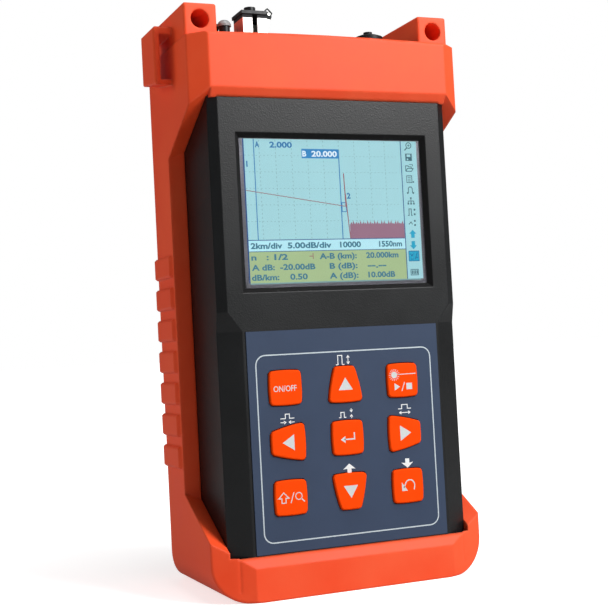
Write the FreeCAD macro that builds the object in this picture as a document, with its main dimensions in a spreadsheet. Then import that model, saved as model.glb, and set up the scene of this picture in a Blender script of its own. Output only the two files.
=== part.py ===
import FreeCAD, Part
import Sketcher
import math
import os
from FreeCAD import Placement, Rotation, Vector

# Handheld optical time domain reflectometer in a rubber boot.
# It stands upright on the boot: +Z up, the screen faces -Y, X runs to the right.
# Depths are given from the boot's front plane; each body's Placement then centres them on the origin.

doc = FreeCAD.newDocument("otdr")
sheet = doc.addObject("Spreadsheet::Sheet", "Sheet")

SIZES = [
    # boot: overall envelope
    ("half_width", 55.0, "side plane of the boot from the centre"),
    ("body_depth", 68.0, "front plane to back plane of the boot"),
    ("top_edge", 205.2, "height of the boot's top edge at the side"),
    ("crown_radius", 1500.0, "curve of the top edge, seen from the front"),
    ("face_depth", 2.3, "display face behind the boot's front plane"),
    ("upper_lip", 185.3, "lower front edge of the top block"),
    ("upper_lip_in", 182.0, "where the top block's lip meets the display face"),
    ("lower_lip", 12.2, "upper front edge of the bottom block"),
    ("lower_lip_in", 16.2, "where the bottom block's lip meets the keypad"),
    ("facet_side", 6.8, "front corner facet, across"),
    ("facet_deep", 5.2, "front corner facet, in depth"),
    ("low_facet_side", 14.9, "bottom corner facet, across"),
    ("low_facet_deep", 5.5, "bottom corner facet, in depth"),
    ("low_facet_top", 26.0, "height that the bottom facets reach"),
    ("rear_facet_side", 8.0, "rear corner facet, across"),
    ("rear_facet_deep", 12.7, "rear corner facet, in depth"),
    ("sole_round", 13.5, "radius of the boot's bottom corners"),
    ("sole_wall", 4.0, "rubber under the case"),
    ("boot_round", 0.9, "rounding of the boot's outer edges"),
    ("rib_bevel", 0.7, "bevelled edges of the grip ribs"),
    ("boot_fit", 0.1, "clearance between boot and case"),
    ("rear_wall", 3.0, "rubber behind the case"),
    ("ledge_depth", 33.6, "front of the side ledge"),
    ("upper_gusset_front", 183.2, "upper gusset, outer line, at its front end"),
    ("upper_gusset_rear", 164.2, "upper gusset, outer line, at the ledge"),
    ("lower_gusset_front", 18.2, "lower gusset, outer line, at its front end"),
    ("lower_gusset_rear", 37.4, "lower gusset, outer line, at the ledge"),
    ("gusset_lean", 3.0, "rise of the gusset face across the boot wall"),
    ("gusset_lead", 2.0, "how far the gusset lines start before the front plane"),
    ("window_half", 34.0, "rear window of the boot, half width"),
    ("window_low", 28.0, "rear window, lower edge"),
    ("window_high", 170.0, "rear window, upper edge"),
    ("window_round", 8.0, "rear window, corner radius"),
    ("deck_half", 41.6, "opening over the ports, half width"),
    ("deck_front", 7.0, "opening over the ports, front edge"),
    ("deck_rear", 60.0, "opening over the ports, rear edge"),
    # boot: ears, strap loops, grip ribs
    ("ear_outer", 54.3, "outer face of an ear"),
    ("ear_front", 8.2, "front face of an ear"),
    ("ear_rear", 50.0, "rear face of an ear"),
    ("ear_top", 217.9, "top of an ear"),
    ("ear_hole_x", 48.15, "lanyard hole, across"),
    ("ear_hole_z", 212.0, "lanyard hole, height"),
    ("ear_hole_radius", 3.5, "lanyard hole radius"),
    ("loop_out", 6.5, "strap loop, how far it stands out"),
    ("loop_front", 24.0, "strap loop, front face"),
    ("loop_deep", 17.5, "strap loop, depth"),
    ("loop_low", 190.8, "strap loop, lower end at its front"),
    ("loop_tilt", 2.8, "rise of the strap loop's lower end toward the rear"),
    ("loop_high", 212.7, "strap loop, upper end"),
    ("loop_wall", 2.8, "strap loop, upper end wall"),
    ("loop_floor", 2.0, "strap loop, lower end wall"),
    ("loop_bar", 2.2, "strap loop, outer bar"),
    ("rib_rise", 1.2, "grip rib, how far it stands out"),
    ("rib_tall", 8.4, "grip rib, height"),
    ("rib_pitch", 12.13, "grip rib, spacing"),
    ("rib_low", 46.5, "grip rib, lowest edge"),
    ("rib_front", 1.2, "grip rib, set back from the ledge line"),
    # case
    ("case_half", 48.5, "side of the case from the centre"),
    ("case_top", 203.5, "top deck of the case"),
    ("bezel_half", 45.2, "display face, half width"),
    ("bezel_side_depth", 4.6, "where the display bezel meets the side"),
    ("keypad_half", 40.0, "keypad face, half width"),
    ("keypad_side_depth", 6.2, "where the keypad bevel meets the side"),
    ("shoulder_low", 97.0, "lower end of the shoulder between keypad and display"),
    ("shoulder_high", 104.0, "upper end of the shoulder"),
    ("case_wall", 2.5, "wall of the case"),
    ("parting", 33.6, "rear edge of the front shell"),
    ("seal_thick", 0.6, "seal between the shells"),
    # display
    ("screen_z", 140.1, "centre of the display"),
    ("active_width", 70.1, "picture area, width"),
    ("active_height", 52.6, "picture area, height"),
    ("sight_side", 2.15, "window opening beyond the picture, at a side"),
    ("sight_end", 1.3, "window opening beyond the picture, above and below"),
    ("rim_slope", 1.8, "bevelled rim round the window opening"),
    ("lens_front", 3.9, "front of the lens"),
    ("lens_thick", 0.6, "lens"),
    ("module_side", 3.4, "display module beyond the picture, at a side"),
    ("module_end", 5.65, "display module beyond the picture, above and below"),
    ("module_front", 4.6, "front of the display module"),
    ("module_thick", 2.6, "metal frame of the display module"),
    ("module_skin", 0.4, "sheet metal of the display frame"),
    ("glass_thick", 1.4, "display glass"),
    ("light_thick", 1.6, "backlight"),
    # keypad
    ("overlay_half", 38.8, "overlay, half width"),
    ("overlay_low", 16.4, "overlay, lower edge"),
    ("overlay_high", 96.7, "overlay, upper edge"),
    ("overlay_thick", 0.4, "overlay"),
    ("key_front", 0.9, "key tops behind the boot's front plane"),
    ("key_x", -1.0, "middle column of keys"),
    ("key_z", 55.9, "middle row of keys"),
    ("key_pitch_x", 23.8, "key columns"),
    ("key_pitch_z", 19.9, "key rows"),
    ("key_size", 12.2, "square key"),
    ("key_long", 13.8, "arrow key, long side"),
    ("key_short", 8.0, "arrow key, short side"),
    ("key_deep", 13.0, "arrow key, height"),
    ("key_round", 1.5, "key corner radius"),
    ("key_edge", 0.4, "bevel of a key's front edges"),
    ("key_gap", 0.3, "clearance round a key"),
    ("key_flange", 1.0, "flange behind the case wall"),
    ("key_flange_thick", 0.8, "flange thickness"),
    ("key_travel", 0.6, "key stroke"),
    ("dome_rise", 0.2, "rubber pip under a key"),
    ("mat_thick", 0.8, "keypad mat"),
    ("board_thick", 1.6, "circuit board"),
    # inside
    ("boss_radius", 3.0, "boss for a board"),
    ("screw_x", 41.0, "case screws, across"),
    ("screw_low", 12.2, "case screws, lower pair"),
    ("screw_high", 178.0, "case screws, upper pair"),
    ("screw_radius", 1.45, "case screw shank"),
    ("screw_head", 2.8, "case screw head radius"),
    ("screw_head_tall", 2.2, "case screw head height"),
    ("post_radius", 4.0, "case screw post"),
    ("main_board_depth", 22.0, "front of the main board"),
    ("main_board_half", 36.0, "main board, half width"),
    ("main_board_low", 88.0, "main board, lower edge"),
    ("main_board_high", 192.0, "main board, upper edge"),
    ("optics_half", 27.0, "optical module, half width"),
    ("optics_low", 142.0, "optical module, lower edge"),
    ("optics_high", 184.0, "optical module, upper edge"),
    ("optics_thick", 12.0, "optical module, thickness"),
    ("coil_z", 118.0, "fibre tray, height of its centre"),
    ("coil_radius", 19.0, "fibre tray radius"),
    ("coil_thick", 6.0, "fibre tray thickness"),
    ("pack_half", 26.0, "battery pack, half width"),
    ("pack_low", 40.0, "battery pack, lower end"),
    ("pack_high", 112.0, "battery pack, upper end"),
    ("pack_thick", 18.0, "battery pack, thickness"),
    ("cover_lap", 3.0, "battery cover beyond the bay at the sides"),
    ("cover_end", 7.0, "battery cover beyond the bay at its ends"),
    ("cover_boss", 3.2, "boss for a cover screw"),
    ("cover_screw", 1.1, "cover screw shank"),
    ("cover_screw_head", 2.1, "cover screw head"),
    ("cover_skin", 1.3, "battery cover, outer plate"),
    ("fit_gap", 0.15, "clearance round panels and pack"),
    # ports on the top deck
    ("port_depth", 21.0, "row of ports behind the boot's front plane"),
    ("panel_half", 38.0, "connector panel, half width"),
    ("panel_front", 10.0, "connector panel, front edge"),
    ("panel_rear", 32.0, "connector panel, rear edge"),
    ("panel_thick", 1.2, "connector panel"),
    ("panel_lap", 2.0, "ledge under the panel's rim"),
    ("sc_x", -23.7, "optical port, across"),
    ("sc_width", 9.8, "optical port sleeve, across"),
    ("sc_deep", 10.2, "optical port sleeve, in depth"),
    ("sc_wall", 0.8, "optical port sleeve, wall"),
    ("sc_top", 217.0, "optical port sleeve, top"),
    ("sc_floor", 3.0, "optical port sleeve, floor above the panel"),
    ("sc_key", 2.0, "keyway in the sleeve"),
    ("sc_flange_thick", 1.5, "flange of the optical port"),
    ("sc_flange_long", 20.0, "flange, length"),
    ("sc_screw", 1.0, "flange screw shank"),
    ("sc_screw_head", 1.8, "flange screw head"),
    ("ferrule_tube", 2.4, "hole for the ferrule tube"),
    ("sc_screw_off", 8.0, "flange screws from the centre"),
    ("lid_thick", 1.3, "lid of the optical port"),
    ("lid_gap", 0.1, "lid above the sleeve"),
    ("lid_over", 0.5, "lid beyond the sleeve"),
    ("hinge_out", 1.3, "hinge pin beyond the sleeve"),
    ("hinge_up", 0.75, "hinge pin above the sleeve"),
    ("knuckle_wall", 0.55, "wall round the hinge pin"),
    ("bracket_in", 1.2, "hinge bracket inside the sleeve's corners"),
    ("cheek_thick", 0.9, "cheek of the hinge bracket"),
    ("spring_half", 1.3, "lid spring, half length"),
    ("ferrule_bore", 1.25, "bore of the ferrule sleeve"),
    ("lid_knob", 2.2, "lid knob radius"),
    ("lid_knob_tall", 2.4, "lid knob height"),
    ("pin_radius", 0.6, "hinge pin radius"),
    ("pin_gap", 0.05, "running clearance on a hinge pin"),
    ("vfl_x", -34.3, "round port, across"),
    ("vfl_radius", 2.1, "round port, barrel radius"),
    ("vfl_top", 213.4, "round port, top"),
    ("cap_wall", 0.5, "cap of the round port beyond the barrel"),
    ("vfl_bore", 1.26, "round port, bore radius"),
    ("dc_x", 26.0, "power socket, across"),
    ("dc_radius", 5.0, "power socket, collar radius"),
    ("dc_bore", 3.2, "power socket, bore radius"),
    ("dc_top", 211.2, "power socket, top"),
    ("plug_radius", 5.8, "rubber plug radius"),
    ("plug_top", 212.9, "rubber plug, top of the dome"),
    ("plug_knob", 1.75, "rubber plug, knob radius"),
]


class Size:
    """A length with its value and the sheet expression that gives it."""

    def __init__(self, value, text):
        self.value = value
        self.text = text

    def __add__(self, other):
        other = size(other)
        return Size(self.value + other.value, "(%s + %s)" % (self.text, other.text))

    def __radd__(self, other):
        return size(other) + self

    def __sub__(self, other):
        other = size(other)
        return Size(self.value - other.value, "(%s - %s)" % (self.text, other.text))

    def __rsub__(self, other):
        return size(other) - self

    def __mul__(self, factor):
        return Size(self.value * factor, "(%s * %s)" % (self.text, repr(float(factor))))

    def __rmul__(self, factor):
        return self * factor

    def __truediv__(self, divisor):
        return Size(self.value / divisor, "(%s / %s)" % (self.text, repr(float(divisor))))

    def __neg__(self):
        return Size(-self.value, "(0 - %s)" % self.text)


def size(number):
    if isinstance(number, Size):
        return number
    return Size(float(number), repr(float(number)))


class Names:
    pass


s = Names()
for row, (alias, value, note) in enumerate(SIZES, start=1):
    sheet.set("A%d" % row, alias)
    sheet.set("B%d" % row, str(value))
    sheet.set("C%d" % row, note)
    sheet.setAlias("B%d" % row, alias)
    setattr(s, alias, Size(value, "Sheet." + alias))
doc.recompute()

PLANE_NORMAL = {"XY_Plane": 1.0, "XZ_Plane": -1.0, "YZ_Plane": 1.0}
parts = []
cuts = []


def body(label):
    made = doc.addObject("PartDesign::Body", label)
    made.Label = label
    made.setExpression("Placement.Base.y", "0 - Sheet.body_depth / 2")
    parts.append(made)
    return made


def origin_plane(owner, role):
    for feature in owner.Origin.OriginFeatures:
        if feature.Role == role:
            return feature
    raise RuntimeError("no plane " + role)


def bind(target, path, length):
    target.setExpression(path, size(length).text)


def sketch(owner, plane, level, across=0, along=0):
    """Sketch on an origin plane of its body, at a level on that plane's axis, its origin moved across and along."""
    made = owner.newObject("Sketcher::SketchObject", owner.Label + "_sketch")
    made.AttachmentSupport = [(origin_plane(owner, plane), "")]
    made.MapMode = "FlatFace"
    bind(made, "AttachmentOffset.Base.z", size(level) * PLANE_NORMAL[plane])
    bind(made, "AttachmentOffset.Base.x", across)
    bind(made, "AttachmentOffset.Base.y", along)
    return made


def arc_centre(start, end, radius, side):
    mid = (start + end) / 2
    run = end - start
    half = run.Length / 2
    rise = math.sqrt(max(radius * radius - half * half, 0.0))
    normal = Vector(-run.y, run.x, 0).normalize()
    return mid - normal * rise * side


def outline(made, points):
    """Closed outline. A point is (x, y), or (x, y, radius, side) where the next edge is an arc that bulges
    to the left (side 1) or right (side -1) of the way along the outline."""
    count = len(points)
    first = len(made.Geometry)
    spots = [Vector(size(point[0]).value, size(point[1]).value, 0) for point in points]
    ends = []
    for index, point in enumerate(points):
        start = spots[index]
        end = spots[(index + 1) % count]
        if len(point) == 2:
            made.addGeometry(Part.LineSegment(start, end), False)
            ends.append((1, 2))
            continue
        radius = size(point[2]).value
        centre = arc_centre(start, end, radius, point[3])
        ring = Part.Circle(centre, Vector(0, 0, 1), radius)
        order = (start, end) if point[3] < 0 else (end, start)
        angles = [math.atan2(spot.y - centre.y, spot.x - centre.x) for spot in order]
        if angles[1] < angles[0]:
            angles[1] += 2 * math.pi
        made.addGeometry(Part.ArcOfCircle(ring, angles[0], angles[1]), False)
        ends.append((1, 2) if point[3] < 0 else (2, 1))
    for index in range(count):
        after = (index + 1) % count
        made.addConstraint(Sketcher.Constraint(
            "Coincident", first + index, ends[index][1], first + after, ends[after][0]))
    for index, point in enumerate(points):
        place(made, first + index, ends[index][0], point[0], point[1])
        if len(point) > 2:
            number = made.addConstraint(Sketcher.Constraint("Radius", first + index, size(point[2]).value))
            bind(made, "Constraints[%d]" % number, point[2])


def place(made, index, spot, x, y):
    for kind, value in (("DistanceX", size(x)), ("DistanceY", size(y))):
        number = made.addConstraint(Sketcher.Constraint(kind, -1, 1, index, spot, value.value))
        bind(made, "Constraints[%d]" % number, value)


def circle(made, x, y, radius):
    spot = Vector(size(x).value, size(y).value, 0)
    index = made.addGeometry(Part.Circle(spot, Vector(0, 0, 1), size(radius).value), False)
    place(made, index, 3, x, y)
    number = made.addConstraint(Sketcher.Constraint("Radius", index, size(radius).value))
    bind(made, "Constraints[%d]" % number, radius)


def rectangle(made, x0, y0, x1, y1):
    outline(made, [(x0, y0), (x1, y0), (x1, y1), (x0, y1)])


def feature(owner, kind, profile, length=None, toward=1, symmetric=False, through=False):
    """Pad or Pocket of a sketch. toward is the sign of the run along the world axis."""
    made = owner.newObject("PartDesign::" + kind, owner.Label + "_" + kind.lower())
    made.Profile = profile
    normal = PLANE_NORMAL[profile.AttachmentSupport[0][0].Role]
    along = toward * normal
    if kind == "Pocket":
        along = -along
    made.Reversed = along < 0
    if symmetric:
        made.Midplane = True
        made.Reversed = False
    if through:
        made.Type = 1
    else:
        bind(made, "Length", length)
    owner.Tip = made
    profile.Visibility = False
    return made


def pad(owner, profile, length, toward=1, symmetric=False):
    return feature(owner, "Pad", profile, length, toward, symmetric)


def pocket(owner, profile, length=None, toward=1, symmetric=False):
    made = feature(owner, "Pocket", profile, length, toward, symmetric, length is None)
    cuts.append(made)
    return made


def loft(owner, kind, sections):
    made = owner.newObject("PartDesign::" + kind, owner.Label + "_loft")
    made.Profile = sections[0]
    made.Sections = sections[1:]
    made.Ruled = True
    owner.Tip = made
    return made


def mirrored(owner, originals, plane="YZ_Plane"):
    made = owner.newObject("PartDesign::Mirrored", owner.Label + "_mirror")
    made.Originals = originals
    made.MirrorPlane = (origin_plane(owner, plane), [""])
    owner.Tip = made
    return made


def repeated(owner, originals, axis_role, gap, count):
    made = owner.newObject("PartDesign::LinearPattern", owner.Label + "_row")
    made.Originals = originals
    made.Direction = (origin_plane(owner, axis_role), [""])
    made.Mode = 1
    bind(made, "Offset", gap)
    made.Occurrences = count
    owner.Tip = made
    return made


def reach(edge):
    """Lowest and highest corner of the box round an edge's ends."""
    points = [vertex.Point for vertex in edge.Vertexes]
    low = Vector(*(min(getattr(point, name) for point in points) for name in "xyz"))
    high = Vector(*(max(getattr(point, name) for point in points) for name in "xyz"))
    return low, high


def round_edges(owner, radius, wanted, kind="Fillet"):
    """Fillet or Chamfer of the edges that wanted(edge) picks on the body so far."""
    doc.recompute()
    base = owner.Tip
    names = ["Edge%d" % (number + 1) for number, edge in enumerate(base.Shape.Edges) if wanted(edge)]
    if not names:
        raise RuntimeError(owner.Label + ": no edge to round")
    made = owner.newObject("PartDesign::" + kind, owner.Label + "_" + kind.lower())
    made.Base = (base, names)
    bind(made, "Radius" if kind == "Fillet" else "Size", radius)
    owner.Tip = made
    return made


def upright(edge, axis, spots=None, near=0.01):
    """True for a straight edge along an axis, at one of the given spots across it."""
    if edge.Curve.TypeId != "Part::GeomLine":
        return False
    start = edge.Vertexes[0].Point
    end = edge.Vertexes[-1].Point
    run = end - start
    others = [name for name in "xyz" if name != axis]
    if abs(getattr(run, others[0])) > near or abs(getattr(run, others[1])) > near:
        return False
    if spots is None:
        return True
    here = (getattr(start, others[0]), getattr(start, others[1]))
    for spot in spots:
        if abs(here[0] - size(spot[0]).value) < near and abs(here[1] - size(spot[1]).value) < near:
            return True
    return False


def plate(owner, plane, level, x0, y0, x1, y1, length, toward=1):
    made = sketch(owner, plane, level)
    rectangle(made, x0, y0, x1, y1)
    return pad(owner, made, length, toward)


def slot_cut(owner, plane, level, x0, y0, x1, y1, length=None, toward=1):
    made = sketch(owner, plane, level)
    rectangle(made, x0, y0, x1, y1)
    return pocket(owner, made, length, toward)


def disc(owner, plane, level, x, y, radius, length, toward=1):
    made = sketch(owner, plane, level)
    circle(made, x, y, radius)
    return pad(owner, made, length, toward)


def drill(owner, plane, level, x, y, radius, length=None, toward=1):
    made = sketch(owner, plane, level)
    circle(made, x, y, radius)
    return pocket(owner, made, length, toward)


def turned(owner, x, depth, points):
    """Revolution about the vertical line at x and depth of an outline in (radius, height)."""
    made = sketch(owner, "XZ_Plane", depth, x)
    outline(made, points)
    spun = owner.newObject("PartDesign::Revolution", owner.Label + "_turned")
    spun.Profile = made
    spun.ReferenceAxis = (made, ["V_Axis"])
    spun.Angle = 360.0
    owner.Tip = spun
    return spun


def envelope(half, front, facet_x, facet_y, back, rear_x, rear_y):
    """Plan outline of a housing with front and rear corner facets."""
    return [
        (-half + facet_x, front),
        (half - facet_x, front),
        (half, front + facet_y),
        (half, back - rear_y),
        (half - rear_x, back),
        (-half + rear_x, back),
        (-half, back - rear_y),
        (-half, front + facet_y),
    ]


# Boot: one rubber moulding with a top block, a bottom block and two side spines.
case_low = s.sole_wall + s.boot_fit
case_back = s.body_depth - s.rear_wall - s.boot_fit
case_rear_side = s.rear_facet_side
case_rear_deep = s.rear_facet_deep
over = 5.0

boot = body("boot")
plan = sketch(boot, "XY_Plane", 0)
outline(plan, envelope(s.half_width, 0, s.facet_side, s.facet_deep, s.body_depth,
                       s.rear_facet_side, s.rear_facet_deep))
pad(boot, plan, s.top_edge + over)

crown_half = s.half_width + over
crown = sketch(boot, "XZ_Plane", -over)
outline(crown, [
    (crown_half, s.top_edge - 0.2, s.crown_radius, -1),
    (-crown_half, s.top_edge - 0.2),
    (-crown_half, s.top_edge + 2 * over),
    (crown_half, s.top_edge + 2 * over),
])
crown_cut = pocket(boot, crown, s.body_depth + 2 * over, 1)

for sign in (1, -1):
    wedge = sketch(boot, "XY_Plane", -over)
    outline(wedge, [
        (sign * (s.half_width - s.low_facet_side), 0),
        (sign * s.half_width, s.low_facet_deep),
        (sign * (s.half_width + over), s.low_facet_deep),
        (sign * (s.half_width + over), -over),
        (sign * (s.half_width - s.low_facet_side), -over),
    ])
    pocket(boot, wedge, s.low_facet_top + over, 1)
    heel = sketch(boot, "XZ_Plane", -over)
    outline(heel, [
        (sign * s.half_width, s.sole_round, s.sole_round, sign),
        (sign * (s.half_width - s.sole_round), 0),
        (sign * (s.half_width - s.sole_round), -over),
        (sign * (s.half_width + over), -over),
        (sign * (s.half_width + over), s.sole_round),
    ])
    pocket(boot, heel, s.body_depth + 2 * over, 1)

# Room for the case, open at the front between the lips.
room = sketch(boot, "XY_Plane", s.sole_wall)
room_half = s.case_half + s.boot_fit
outline(room, envelope(room_half, s.face_depth - s.boot_fit, s.case_half - s.bezel_half,
                       s.bezel_side_depth - s.face_depth, case_back + s.boot_fit,
                       case_rear_side, case_rear_deep))
pocket(boot, room, s.case_top + s.boot_fit - s.sole_wall, 1)

face = sketch(boot, "YZ_Plane", 0)
outline(face, [
    (0, s.upper_lip),
    (s.face_depth, s.upper_lip_in),
    (s.ledge_depth, s.upper_lip_in),
    (s.ledge_depth, s.lower_lip_in),
    (s.face_depth, s.lower_lip_in),
    (0, s.lower_lip),
    (-over, s.lower_lip),
    (-over, s.upper_lip),
])
pocket(boot, face, 2 * s.case_half, 1, symmetric=True)

for sign in (1, -1):
    sections = []
    for level, lean in ((s.case_half - 0.6, s.gusset_lean), (s.half_width + 0.8, 0)):
        cut = sketch(boot, "YZ_Plane", sign * level)
        outline(cut, [
            (-s.gusset_lead, s.upper_gusset_front + lean),
            (s.ledge_depth, s.upper_gusset_rear + lean),
            (s.ledge_depth, s.lower_gusset_rear - lean),
            (-s.gusset_lead, s.lower_gusset_front - lean),
        ])
        sections.append(cut)
    doc.recompute()
    loft(boot, "SubtractiveLoft", sections)
    doc.recompute()

# Opening over the ports and window in the back.
deck = sketch(boot, "XY_Plane", s.case_top - over)
rectangle(deck, -s.deck_half, s.deck_front, s.deck_half, s.deck_rear)
pocket(boot, deck, None, 1)
back = sketch(boot, "XZ_Plane", s.body_depth + over)
rectangle(back, -s.window_half, s.window_low, s.window_half, s.window_high)
pocket(boot, back, s.rear_wall + 2 * over, -1)
round_edges(boot, s.window_round, lambda edge: upright(edge, "y", [
    (-s.window_half, s.window_low), (s.window_half, s.window_low),
    (-s.window_half, s.window_high), (s.window_half, s.window_high)])
    and edge.Length < s.rear_wall.value + 1.0)

# Ears with lanyard holes.
ear = sketch(boot, "YZ_Plane", s.deck_half)
outline(ear, [
    (s.ear_front, s.case_top + s.boot_fit),
    (s.ear_front, s.ear_top),
    (s.ear_rear, s.ear_top),
    (s.ear_rear, s.case_top + s.boot_fit),
])
ear_pad = pad(boot, ear, s.ear_outer - s.deck_half)
doc.recompute()
ear_bore = drill(boot, "XZ_Plane", s.ear_front - over, s.ear_hole_x, s.ear_hole_z, s.ear_hole_radius,
                 s.ear_rear - s.ear_front + 2 * over, 1)

# Strap loops: a bar held off the side by two end walls, open from front to back.
loop_in = s.ear_outer - 1.0
bar_in = s.half_width + s.loop_out - s.loop_bar
low_rear = s.loop_low + s.loop_tilt
wall_under = s.loop_high - s.loop_wall
loop_pads = []
for level, length, low, low_back, high, high_back in (
        (loop_in, bar_in - loop_in + 0.5, s.loop_low, low_rear, s.loop_low + s.loop_floor, low_rear + s.loop_floor),
        (loop_in, bar_in - loop_in + 0.5, wall_under, wall_under, s.loop_high, s.loop_high),
        (bar_in, s.loop_bar, s.loop_low, low_rear, s.loop_high, s.loop_high)):
    loop = sketch(boot, "YZ_Plane", level)
    outline(loop, [
        (s.loop_front, low),
        (s.loop_front + s.loop_deep, low_back),
        (s.loop_front + s.loop_deep, high_back),
        (s.loop_front, high),
    ])
    loop_pads.append(pad(boot, loop, length))

# Grip ribs on the side spine, wrapped round the rear corner.
rib_out = s.half_width + s.rib_rise
rib_end = 2.0
corner = s.body_depth - s.rear_facet_deep
rib_pads = []
for sign in (1, -1):
    rib = sketch(boot, "XY_Plane", s.rib_low)
    outline(rib, [
        (sign * (s.half_width - rib_end), s.ledge_depth + s.rib_front),
        (sign * s.half_width, s.ledge_depth + s.rib_front),
        (sign * rib_out, s.ledge_depth + 2 * s.rib_front),
        (sign * rib_out, corner + 0.4),
        (sign * (s.half_width - s.rear_facet_side + 2.4), s.body_depth - rib_end),
        (sign * (s.half_width - s.rear_facet_side), s.body_depth - rib_end),
        (sign * (s.half_width - rib_end), corner - 1.0),
    ])
    rib_pads.append(pad(boot, rib, s.rib_tall))
doc.recompute()
repeated(boot, rib_pads, "Z_Axis", s.rib_pitch, 7)
doc.recompute()
mirrored(boot, [ear_pad, ear_bore] + loop_pads)
doc.recompute()

# Soft edges of the moulding: blocks, ears, strap loops and ribs.
near = 0.05
soft_corners = [(sign * x.value, size(y).value) for sign in (1, -1) for x, y in (
    (s.half_width - s.facet_side, 0), (s.half_width, s.facet_deep),
    (s.half_width - s.low_facet_side, 0), (s.half_width, s.low_facet_deep),
    (s.deck_half, s.ear_front), (s.deck_half, s.ear_rear),
    (s.ear_outer, s.ear_front), (s.ear_outer, s.ear_rear))]


def outer_edge(edge):
    """True for the outer edges of the blocks, ears and strap loops."""
    low, high = reach(edge)
    tall = high.z - low.z
    across_front = high.y < near and tall < 1.0
    lips = (s.upper_lip.value, s.lower_lip.value)
    if across_front and (low.z > s.top_edge.value - 1.0 or min(abs(low.z - lip) for lip in lips) < near):
        return True
    if upright(edge, "z", soft_corners, near):
        return True
    out = s.half_width.value + s.loop_out.value - near
    return low.z > s.ear_top.value - near or min(abs(low.x), abs(high.x)) > out


def rib_edge(edge):
    """True for the level edges of the ribs on the side and round the rear corner."""
    low, high = reach(edge)
    top = s.rib_low.value + 6 * s.rib_pitch.value + s.rib_tall.value
    level = high.z - low.z < near and s.rib_low.value - near < low.z < top + near
    outer = abs(max(abs(low.x), abs(high.x)) - rib_out.value) < near
    return level and outer and min(abs(low.x), abs(high.x)) > s.window_half.value and low.y > s.ledge_depth.value


round_edges(boot, s.boot_round, outer_edge)
round_edges(boot, s.rib_bevel, rib_edge, "Chamfer")
doc.recompute()

# Front shell: display bezel above, bevelled keypad face below, a sloping shoulder between.
cavity_side = s.case_half - s.case_wall
cavity_low = case_low + s.case_wall
cavity_high = s.case_top - s.case_wall
wall_back = s.face_depth + 3.3
shell = body("front_shell")
plan = sketch(shell, "XY_Plane", case_low)
outline(plan, [
    (-s.bezel_half, s.face_depth),
    (s.bezel_half, s.face_depth),
    (s.case_half, s.bezel_side_depth),
    (s.case_half, s.parting),
    (-s.case_half, s.parting),
    (-s.case_half, s.bezel_side_depth),
])
pad(shell, plan, s.case_top - case_low)
for sign in (1, -1):
    low = sketch(shell, "XY_Plane", case_low - over)
    outline(low, [
        (sign * s.keypad_half, s.face_depth),
        (sign * s.case_half, s.keypad_side_depth),
        (sign * (s.case_half + over), s.keypad_side_depth),
        (sign * (s.case_half + over), s.face_depth - over),
        (sign * s.keypad_half, s.face_depth - over),
    ])
    pocket(shell, low, s.shoulder_low - case_low + over, 1)
    steps = []
    for level, half, deep in ((s.shoulder_low, s.keypad_half, s.keypad_side_depth),
                              (s.shoulder_high, s.bezel_half, s.bezel_side_depth)):
        step = sketch(shell, "XY_Plane", level)
        outline(step, [
            (sign * half, s.face_depth),
            (sign * s.case_half, deep),
            (sign * (s.case_half + over), deep),
            (sign * (s.case_half + over), s.face_depth - over),
            (sign * half, s.face_depth - over),
        ])
        steps.append(step)
    doc.recompute()
    loft(shell, "SubtractiveLoft", steps)
    doc.recompute()
inside = sketch(shell, "XY_Plane", cavity_low)
outline(inside, [
    (-s.keypad_half + 1.0, wall_back),
    (s.keypad_half - 1.0, wall_back),
    (cavity_side, wall_back + 3.2),
    (cavity_side, s.parting + over),
    (-cavity_side, s.parting + over),
    (-cavity_side, wall_back + 3.2),
])
pocket(shell, inside, cavity_high - cavity_low, 1)

# Display opening: a bevelled rim in front, a seat for the module behind.
sight_width = s.active_width + 2 * s.sight_side
sight_height = s.active_height + 2 * s.sight_end
rim_width = sight_width + 2 * s.rim_slope
rim_height = sight_height + 2 * s.rim_slope
module_width = s.active_width + 2 * s.module_side
module_height = s.active_height + 2 * s.module_end
rims = []
for level, wide, tall in ((s.face_depth - 0.1, rim_width + 0.1, rim_height + 0.1),
                          (s.lens_front, sight_width, sight_height)):
    rim = sketch(shell, "XZ_Plane", level)
    rectangle(rim, -wide / 2, s.screen_z - tall / 2, wide / 2, s.screen_z + tall / 2)
    rims.append(rim)
loft(shell, "SubtractiveLoft", rims)
slot_cut(shell, "XZ_Plane", s.face_depth, -sight_width / 2, s.screen_z - sight_height / 2,
         sight_width / 2, s.screen_z + sight_height / 2, over, 1)
seat_wide = module_width / 2 + s.fit_gap
seat_tall = module_height / 2 + s.fit_gap
slot_cut(shell, "XZ_Plane", s.module_front, -seat_wide, s.screen_z - seat_tall,
         seat_wide, s.screen_z + seat_tall, over, 1)

# Key shapes: squares, and arrow keys that narrow away from the pad's middle.
columns = [s.key_x - s.key_pitch_x, s.key_x, s.key_x + s.key_pitch_x]
rows = [s.key_z + s.key_pitch_z, s.key_z, s.key_z - s.key_pitch_z]
KEYS = [
    ("key_power", 0, 0, "square"), ("key_up", 1, 0, "up"), ("key_run", 2, 0, "square"),
    ("key_left", 0, 1, "left"), ("key_enter", 1, 1, "square"), ("key_right", 2, 1, "right"),
    ("key_shift", 0, 2, "square"), ("key_down", 1, 2, "down"), ("key_back", 2, 2, "square"),
]


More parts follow.
